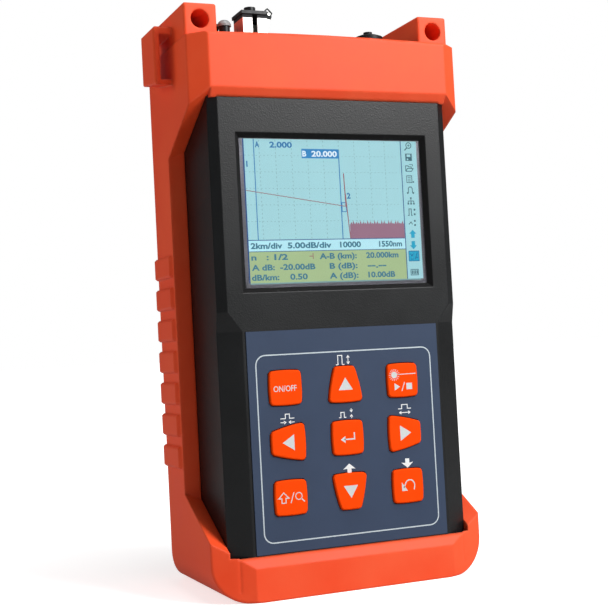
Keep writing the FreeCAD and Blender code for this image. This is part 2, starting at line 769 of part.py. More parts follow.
def key_outline(shape, x, z, grow):
    """Corners of a key, grown all round."""
    half = s.key_size / 2 + grow
    wide = s.key_long / 2 + grow
    thin = s.key_short / 2 + grow
    deep = s.key_deep / 2 + grow
    if shape == "square":
        corners = [(-half, -half), (half, -half), (half, half), (-half, half)]
    elif shape == "up":
        corners = [(-wide, -deep), (wide, -deep), (thin, deep), (-thin, deep)]
    elif shape == "down":
        corners = [(-thin, -deep), (thin, -deep), (wide, deep), (-wide, deep)]
    elif shape == "left":
        corners = [(-deep, -thin), (deep, -wide), (deep, wide), (-deep, thin)]
    else:
        corners = [(-deep, -wide), (deep, -thin), (deep, thin), (-deep, wide)]
    bow = size(60.0)
    return [(x + right, z + up, bow, -1) for right, up in corners]


def key_holes(owner, level, length):
    for name, column, row, shape in KEYS:
        hole = sketch(owner, "XZ_Plane", level)
        outline(hole, key_outline(shape, columns[column], rows[row], s.key_gap))
        pocket(owner, hole, length, 1)


def key_corner(edge):
    """True for a straight edge in depth at a corner of a key hole."""
    low, high = reach(edge)
    inside = abs(low.x) < s.overlay_half.value - 5.0 and low.z > s.overlay_low.value + 5.0
    return upright(edge, "y") and inside and high.z < s.overlay_high.value - 5.0


key_holes(shell, s.face_depth - over, 2 * over)
hole_bevel = (s.key_round + s.key_gap) * 0.55
round_edges(shell, hole_bevel, key_corner, "Chamfer")
travel_back = wall_back + s.key_flange_thick + s.key_travel
mat_front = travel_back + s.dome_rise + 0.1
board_front = mat_front + s.mat_thick
board_back = board_front + s.board_thick
boss_x = s.overlay_half - 2.3
boss_low = s.overlay_low + 3.0
boss_high = s.overlay_high - 3.0
for x in (-boss_x, boss_x):
    for z in (boss_low, boss_high):
        disc(shell, "XZ_Plane", wall_back - 0.5, x, z, s.boss_radius, board_front - wall_back + 0.5)
pillar_x = s.main_board_half - 3.5
for x in (-pillar_x, pillar_x):
    for z in (boss_high + 2.3 * s.boss_radius, s.main_board_high - 3.5):
        disc(shell, "XZ_Plane", wall_back - 0.5, x, z, s.boss_radius, s.main_board_depth - wall_back + 0.5)
for x in (-s.screw_x, s.screw_x):
    for z in (s.screw_low, s.screw_high):
        disc(shell, "XZ_Plane", wall_back, x, z, s.post_radius, s.parting - wall_back)
        drill(shell, "XZ_Plane", s.parting - 12.0, x, z, s.screw_radius + 0.05, 12.0 + over, 1)

# Seat for the connector panel in the top wall.
panel_low = s.case_top - s.panel_thick
slot_cut(shell, "XY_Plane", panel_low, -s.panel_half - s.fit_gap, s.panel_front - s.fit_gap,
         s.panel_half + s.fit_gap, s.panel_rear + s.fit_gap, over, 1)
slot_cut(shell, "XY_Plane", cavity_high - 1.0, -s.panel_half + s.panel_lap, s.panel_front + s.panel_lap,
         s.panel_half - s.panel_lap, s.panel_rear - s.panel_lap, over, 1)
doc.recompute()

# Seal between the shells.
seal_back = s.parting + s.seal_thick
seal = body("shell_seal")
plate(seal, "XZ_Plane", s.parting, -s.case_half + 0.6, case_low + 0.6, s.case_half - 0.6,
      s.case_top - 0.6, s.seal_thick)
slot_cut(seal, "XZ_Plane", s.parting - over, -cavity_side, cavity_low, cavity_side, cavity_high, 2 * over)

# Rear shell with the battery bay.
rear = body("rear_shell")
plan = sketch(rear, "XY_Plane", case_low)
outline(plan, [
    (-s.case_half, seal_back),
    (s.case_half, seal_back),
    (s.case_half, case_back - case_rear_deep),
    (s.case_half - case_rear_side, case_back),
    (-s.case_half + case_rear_side, case_back),
    (-s.case_half, case_back - case_rear_deep),
])
pad(rear, plan, s.case_top - case_low)
back_wall = case_back - s.case_wall
inside = sketch(rear, "XY_Plane", cavity_low)
outline(inside, [
    (-cavity_side, seal_back - over),
    (cavity_side, seal_back - over),
    (cavity_side, back_wall - case_rear_deep + 1.5),
    (s.case_half - case_rear_side - 2.0, back_wall),
    (-s.case_half + case_rear_side + 2.0, back_wall),
    (-cavity_side, back_wall - case_rear_deep + 1.5),
])
pocket(rear, inside, cavity_high - cavity_low, 1)
bay_in = s.pack_half + s.fit_gap
bay_skin = 1.8
bay_low = s.pack_low - s.fit_gap
bay_high = s.pack_high + s.fit_gap
pack_front = back_wall - s.pack_thick
bay_floor = pack_front - s.fit_gap - bay_skin
plate(rear, "XZ_Plane", bay_floor, -bay_in - bay_skin, bay_low - bay_skin, bay_in + bay_skin, bay_high + bay_skin,
      back_wall - bay_floor + 0.5)
cover_z = (bay_low - s.cover_end / 2, bay_high + s.cover_end / 2)
for z in cover_z:
    disc(rear, "XZ_Plane", back_wall - 10.0, 0, z, s.cover_boss, 10.5)
slot_cut(rear, "XZ_Plane", pack_front - s.fit_gap, -bay_in, bay_low, bay_in, bay_high, 40.0, 1)
cover_out = bay_in + s.cover_lap
cover_front = case_back - s.cover_skin
slot_cut(rear, "XZ_Plane", cover_front, -cover_out, bay_low - s.cover_end,
         cover_out, bay_high + s.cover_end, over, 1)
post_back = case_back - 8.9
head_seat = post_back - 6.0
for x in (-s.screw_x, s.screw_x):
    for z in (s.screw_low, s.screw_high):
        disc(rear, "XZ_Plane", seal_back, x, z, s.post_radius, post_back - seal_back)
        drill(rear, "XZ_Plane", seal_back - over, x, z, s.screw_radius + 0.15, 40.0, 1)
        drill(rear, "XZ_Plane", head_seat, x, z, s.screw_head + 0.3, 40.0, 1)
for z in cover_z:
    drill(rear, "XZ_Plane", back_wall - 8.0, 0, z, s.cover_screw + 0.05, 20.0, 1)

# Battery cover: a plate with a raised tray that fills the mouth of the bay.
cover = body("battery_cover")
plate(cover, "XZ_Plane", cover_front, -cover_out + s.fit_gap, bay_low - s.cover_end + s.fit_gap,
      cover_out - s.fit_gap, bay_high + s.cover_end - s.fit_gap, s.cover_skin)
plate(cover, "XZ_Plane", back_wall + 0.1, -bay_in + 0.2, bay_low + 0.2, bay_in - 0.2, bay_high - 0.2,
      cover_front - back_wall - 0.1)
for z in cover_z:
    drill(cover, "XZ_Plane", cover_front - over, 0, z, s.cover_screw + 0.2, 40.0, 1)
    drill(cover, "XZ_Plane", cover_front + 0.5, 0, z, s.cover_screw_head + 0.2, over, 1)
for number, z in enumerate(cover_z, start=1):
    screw = body("cover_screw_%d" % number)
    disc(screw, "XZ_Plane", back_wall - 7.0, 0, z, s.cover_screw, cover_front + 0.5 - back_wall + 7.0)
    disc(screw, "XZ_Plane", cover_front + 0.5, 0, z, s.cover_screw_head, s.cover_skin - 0.6)
    recess = sketch(screw, "XZ_Plane", case_back - 0.6)
    outline(recess, [(-s.cover_screw * 0.3, z - s.cover_screw), (s.cover_screw * 0.3, z - s.cover_screw),
                     (s.cover_screw * 0.3, z + s.cover_screw), (-s.cover_screw * 0.3, z + s.cover_screw)])
    pocket(screw, recess, over, 1)
pack = body("battery_pack")
plate(pack, "XZ_Plane", pack_front, -s.pack_half, s.pack_low, s.pack_half, s.pack_high, s.pack_thick)
round_edges(pack, 3.0, lambda edge: upright(edge, "z"))

number = 0
for x in (-s.screw_x, s.screw_x):
    for z in (s.screw_low, s.screw_high):
        number += 1
        screw = body("case_screw_%d" % number)
        disc(screw, "XZ_Plane", s.parting - 11.0, x, z, s.screw_radius, head_seat - s.parting + 11.0)
        disc(screw, "XZ_Plane", head_seat, x, z, s.screw_head, s.screw_head_tall)
        drill(screw, "XZ_Plane", head_seat + s.screw_head_tall / 2, x, z, s.screw_radius, over, 1)

# Display: lens, metal frame, glass and backlight.
lens = body("display_lens")
plate(lens, "XZ_Plane", s.lens_front, -sight_width / 2 + 0.1, s.screen_z - sight_height / 2 + 0.1,
      sight_width / 2 - 0.1, s.screen_z + sight_height / 2 - 0.1, s.lens_thick)
frame = body("display_frame")
plate(frame, "XZ_Plane", s.module_front, -module_width / 2, s.screen_z - module_height / 2,
      module_width / 2, s.screen_z + module_height / 2, s.module_thick)
slot_cut(frame, "XZ_Plane", s.module_front - over, -s.active_width / 2, s.screen_z - s.active_height / 2,
         s.active_width / 2, s.screen_z + s.active_height / 2, 20.0, 1)
tray = s.module_skin
slot_cut(frame, "XZ_Plane", s.module_front + tray, -module_width / 2 + tray,
         s.screen_z - module_height / 2 + tray, module_width / 2 - tray,
         s.screen_z + module_height / 2 - tray, 20.0, 1)
glass_in = tray + 0.1
glass_front = s.module_front + tray
light_front = glass_front + s.glass_thick
for label, level, deep in (("display_glass", glass_front, s.glass_thick),
                           ("display_light", light_front, s.light_thick)):
    sheet_part = body(label)
    plate(sheet_part, "XZ_Plane", level, -module_width / 2 + glass_in,
          s.screen_z - module_height / 2 + glass_in, module_width / 2 - glass_in,
          s.screen_z + module_height / 2 - glass_in, deep)

# Keypad: overlay, keys, rubber mat with a pip under each key, board.
overlay = body("keypad_overlay")
plate(overlay, "XZ_Plane", s.face_depth - s.overlay_thick, -s.overlay_half, s.overlay_low,
      s.overlay_half, s.overlay_high, s.overlay_thick)
key_holes(overlay, s.face_depth - over, 2 * over)
round_edges(overlay, hole_bevel, key_corner, "Chamfer")
for name, column, row, shape in KEYS:
    key = body(name)
    cap = sketch(key, "XZ_Plane", s.key_front)
    outline(cap, key_outline(shape, columns[column], rows[row], size(0.0)))
    pad(key, cap, wall_back + 0.05 - s.key_front)
    round_edges(key, s.key_round, lambda edge: upright(edge, "y"))
    round_edges(key, s.key_edge, lambda edge: reach(edge)[1].y < s.key_front.value + 0.01, "Chamfer")
    brim = sketch(key, "XZ_Plane", wall_back + 0.05)
    outline(brim, key_outline(shape, columns[column], rows[row], s.key_flange))
    pad(key, brim, s.key_flange_thick)
mat = body("keypad_mat")
mat_half = s.key_pitch_x + s.key_size / 2 + s.key_flange + 1.6
plate(mat, "XZ_Plane", mat_front, s.key_x - mat_half, rows[2] - s.key_long / 2 - 3.0,
      s.key_x + mat_half, rows[0] + s.key_long / 2 + 3.0, s.mat_thick)
pip = s.key_size / 4
for x in columns:
    for z in rows:
        plate(mat, "XZ_Plane", mat_front - s.dome_rise, x - pip, z - pip, x + pip, z + pip, s.dome_rise)
board = body("keypad_board")
plate(board, "XZ_Plane", board_front, -s.overlay_half + 0.8, s.overlay_low + 0.8,
      s.overlay_half - 0.8, s.overlay_high - 0.8, s.board_thick)

# Main board with the optical module, its fibre tray, and the buzzer.
main = body("main_board")
plate(main, "XZ_Plane", s.main_board_depth, -s.main_board_half, s.main_board_low,
      s.main_board_half, s.main_board_high, s.board_thick)
main_back = s.main_board_depth + s.board_thick
optics = body("optical_module")
plate(optics, "XZ_Plane", main_back, -s.optics_half, s.optics_low, s.optics_half, s.optics_high, s.optics_thick)
coil = body("fibre_tray")
disc(coil, "XZ_Plane", main_back, 0, s.coil_z, s.coil_radius, s.coil_thick)
drill(coil, "XZ_Plane", main_back + 1.0, 0, s.coil_z, s.coil_radius * 0.62, 20.0, 1)
buzzer = body("buzzer")
disc(buzzer, "XZ_Plane", main_back, s.main_board_half - 8.0, s.main_board_low + 8.0, 6.0, 5.0)

# Connector panel on the top deck.
panel = body("connector_panel")
plate(panel, "XY_Plane", panel_low, -s.panel_half, s.panel_front, s.panel_half, s.panel_rear, s.panel_thick)

# Optical port: square metal sleeve with a keyway, on a screwed flange.
deck_top = s.case_top
sc_z = deck_top + s.sc_flange_thick
sleeve = body("sc_sleeve")
half_x = s.sc_width / 2
half_y = s.sc_deep / 2
plate(sleeve, "XY_Plane", deck_top, s.sc_x - half_x, s.port_depth - s.sc_flange_long / 2,
      s.sc_x + half_x, s.port_depth + s.sc_flange_long / 2, s.sc_flange_thick)
plate(sleeve, "XY_Plane", deck_top, s.sc_x - half_x, s.port_depth - half_y,
      s.sc_x + half_x, s.port_depth + half_y, s.sc_top - deck_top)
slot_cut(sleeve, "XY_Plane", deck_top + s.sc_floor, s.sc_x - half_x + s.sc_wall, s.port_depth - half_y + s.sc_wall,
         s.sc_x + half_x - s.sc_wall, s.port_depth + half_y - s.sc_wall, 30.0, 1)
slot_cut(sleeve, "XY_Plane", deck_top + s.sc_floor, s.sc_x - s.sc_key / 2, s.port_depth - half_y - over,
         s.sc_x + s.sc_key / 2, s.port_depth, 30.0, 1)
drill(sleeve, "XY_Plane", deck_top - over, s.sc_x, s.port_depth, s.ferrule_tube, 30.0, 1)
for y in (s.port_depth - s.sc_screw_off, s.port_depth + s.sc_screw_off):
    drill(sleeve, "XY_Plane", deck_top - over, s.sc_x, y, s.sc_screw + 0.1, 30.0, 1)
    drill(panel, "XY_Plane", deck_top - over, s.sc_x, y, s.sc_screw + 0.05, 30.0, 1)
doc.recompute()

# Ferrule tube with its split sleeve inside the optical port, and the flange screws.
tube = body("ferrule_holder")
disc(tube, "XY_Plane", deck_top, s.sc_x, s.port_depth, s.ferrule_tube - 0.05, s.sc_floor + 5.0)
drill(tube, "XY_Plane", deck_top + 0.4, s.sc_x, s.port_depth, s.ferrule_bore + 0.35, 20.0, 1)
ferrule = body("ferrule_sleeve")
disc(ferrule, "XY_Plane", deck_top + 0.4, s.sc_x, s.port_depth, s.ferrule_bore + 0.33, s.sc_floor + 4.2)
drill(ferrule, "XY_Plane", deck_top - over, s.sc_x, s.port_depth, s.ferrule_bore, 30.0, 1)
for number, y in enumerate((s.port_depth - s.sc_screw_off, s.port_depth + s.sc_screw_off), start=1):
    screw = body("sc_screw_%d" % number)
    disc(screw, "XY_Plane", deck_top - s.panel_thick, s.sc_x, y, s.sc_screw, s.panel_thick + s.sc_flange_thick)
    disc(screw, "XY_Plane", sc_z, s.sc_x, y, s.sc_screw_head, 1.0)
    recess = sketch(screw, "XY_Plane", sc_z + 0.5)
    rectangle(recess, s.sc_x - s.sc_screw * 0.3, y - s.sc_screw, s.sc_x + s.sc_screw * 0.3, y + s.sc_screw)
    pocket(screw, recess, over, 1)

# Hinge bracket beside the sleeve, pin, lid and its torsion spring.
pin_x = s.sc_x + half_x + s.hinge_out
pin_z = s.sc_top + s.hinge_up
lid_low = s.sc_top + s.lid_gap
lid_high = lid_low + s.lid_thick
knuckle = s.pin_radius + s.knuckle_wall
bracket_half = half_y - s.bracket_in
for sign in (1, -1):
    cheek = sketch(sleeve, "XZ_Plane", s.port_depth + sign * bracket_half)
    outline(cheek, [
        (s.sc_x + half_x - s.sc_wall, s.sc_top - 5.0),
        (s.sc_x + half_x, s.sc_top - 5.0),
        (pin_x + knuckle, pin_z - knuckle),
        (pin_x + knuckle, pin_z + knuckle * 0.8),
        (pin_x - knuckle * 0.7, pin_z + knuckle * 0.8),
        (pin_x - knuckle * 0.7, s.sc_top - 0.5),
        (s.sc_x + half_x - s.sc_wall, s.sc_top - 0.5),
    ])
    pad(sleeve, cheek, s.cheek_thick, -sign)
drill(sleeve, "XZ_Plane", s.port_depth - half_y, pin_x, pin_z, s.pin_radius, 2 * half_y, 1)
pin = body("lid_pin")
disc(pin, "XZ_Plane", s.port_depth - bracket_half - 0.3, pin_x, pin_z, s.pin_radius - 0.02,
     2 * bracket_half + 0.6)
lid = body("sc_lid")
lid_end = pin_x - knuckle - 0.25
plate(lid, "XY_Plane", lid_low, s.sc_x - half_x - s.lid_over, s.port_depth - half_y - s.lid_over,
      lid_end, s.port_depth + half_y + s.lid_over, s.lid_thick)
barrel_half = bracket_half - s.cheek_thick - 0.12
arm = sketch(lid, "XZ_Plane", s.port_depth - barrel_half)
outline(arm, [
    (lid_end - 0.4, lid_low),
    (pin_x, pin_z - knuckle * 0.9),
    (pin_x, pin_z + knuckle * 0.9),
    (lid_end - 0.4, lid_high + 0.4),
])
pad(lid, arm, 2 * barrel_half)
disc(lid, "XZ_Plane", s.port_depth - barrel_half, pin_x, pin_z, knuckle, 2 * barrel_half)
slot_cut(lid, "XZ_Plane", s.port_depth - s.spring_half, pin_x - knuckle - 0.4, lid_low - over,
         pin_x + knuckle + over, lid_high + 2 * over, 2 * s.spring_half, 1)
drill(lid, "XZ_Plane", s.port_depth - half_y - over, pin_x, pin_z, s.pin_radius + s.pin_gap, 40.0, 1)
disc(lid, "XY_Plane", lid_high, s.sc_x, s.port_depth, s.lid_knob, s.lid_knob_tall)
spring = body("lid_spring")
disc(spring, "XZ_Plane", s.port_depth - s.spring_half + 0.1, pin_x, pin_z, s.pin_radius + 0.6,
     2 * s.spring_half - 0.2)
drill(spring, "XZ_Plane", s.port_depth - half_y, pin_x, pin_z, s.pin_radius + 0.1, 2 * half_y, 1)

# Round port with its hinged cap.
barrel = body("vfl_barrel")
disc(barrel, "XY_Plane", deck_top, s.vfl_x, s.port_depth, s.vfl_radius + 1.3, 1.6)
disc(barrel, "XY_Plane", deck_top + 1.6, s.vfl_x, s.port_depth, s.vfl_radius, s.vfl_top - deck_top - 1.6)
drill(barrel, "XY_Plane", deck_top + 1.0, s.vfl_x, s.port_depth, s.vfl_bore, 30.0, 1)
for number in (0, 1):
    groove = sketch(barrel, "XY_Plane", deck_top + 4.2 + 1.6 * number)
    circle(groove, s.vfl_x, s.port_depth, s.vfl_radius + 1.0)
    circle(groove, s.vfl_x, s.port_depth, s.vfl_radius - 0.25)
    pocket(barrel, groove, 0.8, 1)
collar = body("vfl_hinge_ring")
ring_low = deck_top + 1.6
ring = sketch(collar, "XY_Plane", ring_low)
circle(ring, s.vfl_x, s.port_depth, s.vfl_radius + 1.1)
pad(collar, ring, 1.0)
vfl_pin_y = s.port_depth + s.vfl_radius + 2.4
vfl_pin_z = s.vfl_top + 0.6
for sign in (1, -1):
    leg = sketch(collar, "YZ_Plane", s.vfl_x + sign * 2.2)
    outline(leg, [
        (s.port_depth + s.vfl_radius + 0.3, ring_low),
        (vfl_pin_y + 1.1, ring_low),
        (vfl_pin_y + 1.1, vfl_pin_z + 1.0),
        (vfl_pin_y - 1.1, vfl_pin_z + 1.0),
        (vfl_pin_y - 1.1, ring_low + 2.0),
        (s.port_depth + s.vfl_radius + 0.3, ring_low + 1.0),
    ])
    pad(collar, leg, 1.0, -sign)
drill(collar, "XY_Plane", deck_top, s.vfl_x, s.port_depth, s.vfl_radius + 0.02, 4.0, 1)
drill(collar, "YZ_Plane", s.vfl_x - over, vfl_pin_y, vfl_pin_z, s.pin_radius, 2 * over, 1)
vfl_pin = body("vfl_pin")
disc(vfl_pin, "YZ_Plane", s.vfl_x - 2.3, vfl_pin_y, vfl_pin_z, s.pin_radius - 0.02, 4.6)
cap = body("vfl_cap")
cap_low = s.vfl_top - 0.4
outer = s.vfl_radius + s.cap_wall
dome_high = s.vfl_top + 2.2
turned(cap, s.vfl_x, s.port_depth, [
    (0, s.vfl_top + 0.15),
    (s.vfl_radius + 0.1, s.vfl_top + 0.15),
    (s.vfl_radius + 0.1, cap_low),
    (outer, cap_low),
    (outer, s.vfl_top + 0.5),
    (outer * 0.82, s.vfl_top + 1.35),
    (outer * 0.52, s.vfl_top + 1.95),
    (0.5, dome_high),
    (0, dome_high),
])
slot_cut(cap, "XY_Plane", s.vfl_top + 0.15, s.vfl_x - outer - 1.0, s.port_depth + 0.3,
         s.vfl_x + outer + 1.0, vfl_pin_y, 2 * over, -1)
tab = sketch(cap, "YZ_Plane", s.vfl_x - 1.05)
outline(tab, [
    (s.port_depth + s.vfl_radius + 0.2, s.vfl_top + 0.15),
    (vfl_pin_y, vfl_pin_z - 0.9),
    (vfl_pin_y, vfl_pin_z + 0.9),
    (s.port_depth + s.vfl_radius + 0.2, s.vfl_top + 1.2),
])
pad(cap, tab, 2.1)
disc(cap, "YZ_Plane", s.vfl_x - 1.05, vfl_pin_y, vfl_pin_z, 0.95, 2.1)
drill(cap, "YZ_Plane", s.vfl_x - over, vfl_pin_y, vfl_pin_z, s.pin_radius + s.pin_gap, 2 * over, 1)

# Power socket and the rubber plug over it.
socket = body("power_socket")
disc(socket, "XY_Plane", deck_top, s.dc_x, s.port_depth, s.dc_radius, s.dc_top - deck_top)
drill(socket, "XY_Plane", deck_top + 0.5, s.dc_x, s.port_depth, s.dc_bore, 30.0, 1)
disc(socket, "XY_Plane", deck_top + 0.4, s.dc_x, s.port_depth, 1.0, s.dc_top - deck_top - 2.4)
plug = body("power_plug")
skirt_low = s.dc_top - 1.6
turned(plug, s.dc_x, s.port_depth, [
    (0, s.dc_top - 1.6),
    (s.dc_bore - 0.2, s.dc_top - 1.6),
    (s.dc_bore - 0.2, s.dc_top + 0.05),
    (s.dc_radius + 0.1, s.dc_top + 0.05),
    (s.dc_radius + 0.1, skirt_low),
    (s.plug_radius, skirt_low),
    (s.plug_radius, s.dc_top + 0.4),
    ((s.plug_radius + s.plug_knob) / 2 + 0.06, (s.dc_top + 0.4 + s.plug_top) / 2 + 0.14),
    (s.plug_knob, s.plug_top),
    (s.plug_knob, s.plug_top + 0.9),
    (0, s.plug_top + 1.2),
])

doc.recompute()
os.makedirs("parts", exist_ok=True)
problems = []
for item in doc.Objects:
    if "Invalid" in item.State or "Error" in item.State:
        problems.append(item.Name + " is " + ", ".join(item.State))
for item in cuts:
    if "Up-to-date" in item.State and item.Shape.Volume > item.BaseFeature.Shape.Volume - 1e-4:
        problems.append(item.Name + " cuts nothing")
for item in parts:
    shape = item.Shape
    if shape.isNull() or not shape.isValid() or len(shape.Solids) != 1:
        problems.append(item.Label + " is not one valid solid")
if problems:
    raise RuntimeError("; ".join(problems))
for item in parts:
    item.Shape.exportStep("parts/" + item.Label + ".step")
print(len(parts), "parts")
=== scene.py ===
import math

import bmesh
import bpy
from bpy.props import FloatProperty, FloatVectorProperty, PointerProperty
from mathutils import Matrix, Vector
from mathutils.geometry import tessellate_polygon


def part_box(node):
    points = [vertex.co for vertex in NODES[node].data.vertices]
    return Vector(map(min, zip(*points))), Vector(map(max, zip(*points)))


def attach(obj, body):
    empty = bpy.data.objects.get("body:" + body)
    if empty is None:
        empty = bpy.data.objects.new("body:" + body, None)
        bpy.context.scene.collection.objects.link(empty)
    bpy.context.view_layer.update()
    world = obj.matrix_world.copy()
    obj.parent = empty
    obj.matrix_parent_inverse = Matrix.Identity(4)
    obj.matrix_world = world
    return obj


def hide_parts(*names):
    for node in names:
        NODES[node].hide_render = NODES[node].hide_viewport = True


bl_info = {
    "name": "Handheld optical time domain reflectometer",
    "version": (1, 0, 0),
    "blender": (4, 5, 0),
    "location": "View3D > Sidebar > Tester",
    "description": "Finishes, prints and small parts of a handheld fibre tester in a rubber boot",
    "category": "Object",
}

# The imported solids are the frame: everything below is placed from them.
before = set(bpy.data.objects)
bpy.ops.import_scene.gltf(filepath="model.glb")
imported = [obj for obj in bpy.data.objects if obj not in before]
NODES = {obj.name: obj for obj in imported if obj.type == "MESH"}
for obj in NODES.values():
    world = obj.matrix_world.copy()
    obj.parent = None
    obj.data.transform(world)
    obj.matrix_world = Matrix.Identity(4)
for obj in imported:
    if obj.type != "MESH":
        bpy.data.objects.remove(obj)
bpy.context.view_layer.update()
MM = 0.001

KEY_NODES = ("key_power", "key_up", "key_run", "key_left", "key_enter",
             "key_right", "key_shift", "key_down", "key_back")

# Lamps of the studio: name, place and width in metres, power in watts, and whether reflections show it.
LAMPS = (("key_light", (0.5, -0.62, 0.66), 0.42, 5.5, True),
         ("front_card", (0.463, -0.94, 0.60), 0.24, 5.1, True),
         ("top_light", (0.1, -0.3, 1.1), 0.5, 3.6, True),
         ("back_light", (-0.95, 0.6, 0.5), 0.6, 4.0, False))
LAMP_TARGET = Vector((0.0, 0.0, 0.1))
FLOOR_RADIUS = 14.0

# Depth over which the edges of the case plastic are softened, in metres.
CASE_EDGE = 0.0006

# Heights of the picture's layers over the display, in millimetres, so that none lies in another.
BACK, DOTS, RULES, LINES, LETTERS = 0.01, 0.02, 0.03, 0.04, 0.05
# Edges of the picture's parts, in millimetres from its top left corner: the icon column, the plot's lower
# end and the status bar's lower end.
COLUMN, PLOT_END, STATUS_END = 64.6, 37.4, 41.6
# Height of a capital and bolder strokes of the letters on the display, in millimetres.
LETTER_SIZE, LETTER_BOLD = 2.05, 0.1

# Height of printed ink over its surface, and the frame line with its corner radius, in millimetres.
PRINT_LIFT = 0.015
FRAME_LINE = (-35.6, 20.3, 35.4, 87.9)
FRAME_CORNER = 3.6


def linear(hex_colour):
    """Linear colour of a six-digit sRGB value."""
    values = [int(hex_colour[at:at + 2], 16) / 255.0 for at in (0, 2, 4)]
    return tuple(v / 12.92 if v <= 0.04045 else ((v + 0.055) / 1.055) ** 2.4 for v in values)


def colour(name, description, hex_colour):
    return FloatVectorProperty(name=name, description=description, subtype="COLOR", size=3,
                               min=0.0, max=1.0, default=linear(hex_colour))


def length(name, description, value):
    return FloatProperty(name=name, description=description, default=value, min=0.0, unit="LENGTH",
                         precision=5)


# Sizes and colours that a user would change.
class RubberSettings(bpy.types.PropertyGroup):
    boot: colour("Boot", "Moulded rubber of the boot", "f4481a")
    boot_worn: colour("Boot, worn", "Boot rubber where it is rubbed", "ff7448")
    key: colour("Keys", "Silicone of the keys", "ff4a02")
    edge: length("Edge", "Radius that the boot's edges are softened to", 0.0011)
    grain: FloatProperty(name="Grain", description="Depth of the moulded grain", default=0.12,
                         min=0.0, max=1.0)


class CaseSettings(bpy.types.PropertyGroup):
    plastic: colour("Case", "Black plastic of the case", "0b0c0d")
    plastic_worn: colour("Case, rubbed", "Case plastic where it shines", "1a1d1f")
    overlay: colour("Overlay", "Printed film round the keys", "38465e")
    legend: colour("Legend", "White print", "d2d6d6")
    pictogram: colour("Pictogram", "Pictograms beside the keys", "eef2f2")
    line: colour("Line", "Printed frame line", "c4d0d6")
    stroke: length("Stroke", "Width of the printed frame line", 0.00045)
    # Painted shade: the sloped wall round the display window is drawn in this darker black than the case
    # plastic.
    rim: colour("Rim", "Bevel round the display", "020203")


class ScreenSettings(bpy.types.PropertyGroup):
    plot: colour("Plot", "Background of the trace", "a9dbe2")
    status: colour("Status", "Background of the status bar", "b6e6f0")
    panel: colour("Panel", "Background of the readings", "b0c894")
    ink: colour("Ink", "Letters on the readings", "3f7f98")
    mark: colour("Mark", "Letters and markers on the plot", "2f86c4")
    icon: colour("Icon", "Icons beside the plot", "4f8494")
    rule: colour("Rule", "Marker lines", "2f86c8")
    border: colour("Border", "Lines round the plot", "1f5fa8")
    label: colour("Label", "Box of the second marker", "2f8acb")
    trace: colour("Trace", "Measured trace", "b4707c")
    floor: colour("Noise", "Noise at the trace's end", "a87c92")
    arrow: colour("Arrow", "Arrow icons", "22a8cc")
    glow: FloatProperty(name="Glow", description="Brightness of the backlight", default=0.92, min=0.0)
    wide: length("Width", "Picture area, width", 0.0714)
    tall: length("Height", "Picture area, height", 0.0531)
    shift: FloatVectorProperty(name="Shift", subtype="TRANSLATION", size=2, precision=5,
                               description="Picture from the middle of the frame, across and up",
                               default=(0.0002, 0.00075))


class ViewSettings(bpy.types.PropertyGroup):
    place: FloatVectorProperty(name="Place", description="Where the camera stands", subtype="TRANSLATION",
                               size=3, default=(-0.18765, -0.44571, 0.0900), precision=5)
    right: FloatVectorProperty(name="Right", description="Direction of the picture's right side", size=3,
                               default=(0.92268, -0.38195, -0.05266), precision=5)
    ahead: FloatVectorProperty(name="Ahead", description="Direction that the camera looks in", size=3,
                               default=(0.38397, 0.92265, 0.03570), precision=5)
    lens: FloatProperty(name="Lens", description="Focal length on a 36 mm sensor, in millimetres",
                        default=72.19)
    floor: colour("Floor", "Pale floor", "f4f4f4")
    bounce: FloatProperty(name="Bounce", description="Share of the light that the floor sends back",
                          default=0.45)
    fill: FloatProperty(name="Fill", description="Brightness of the light from all round", default=0.15)


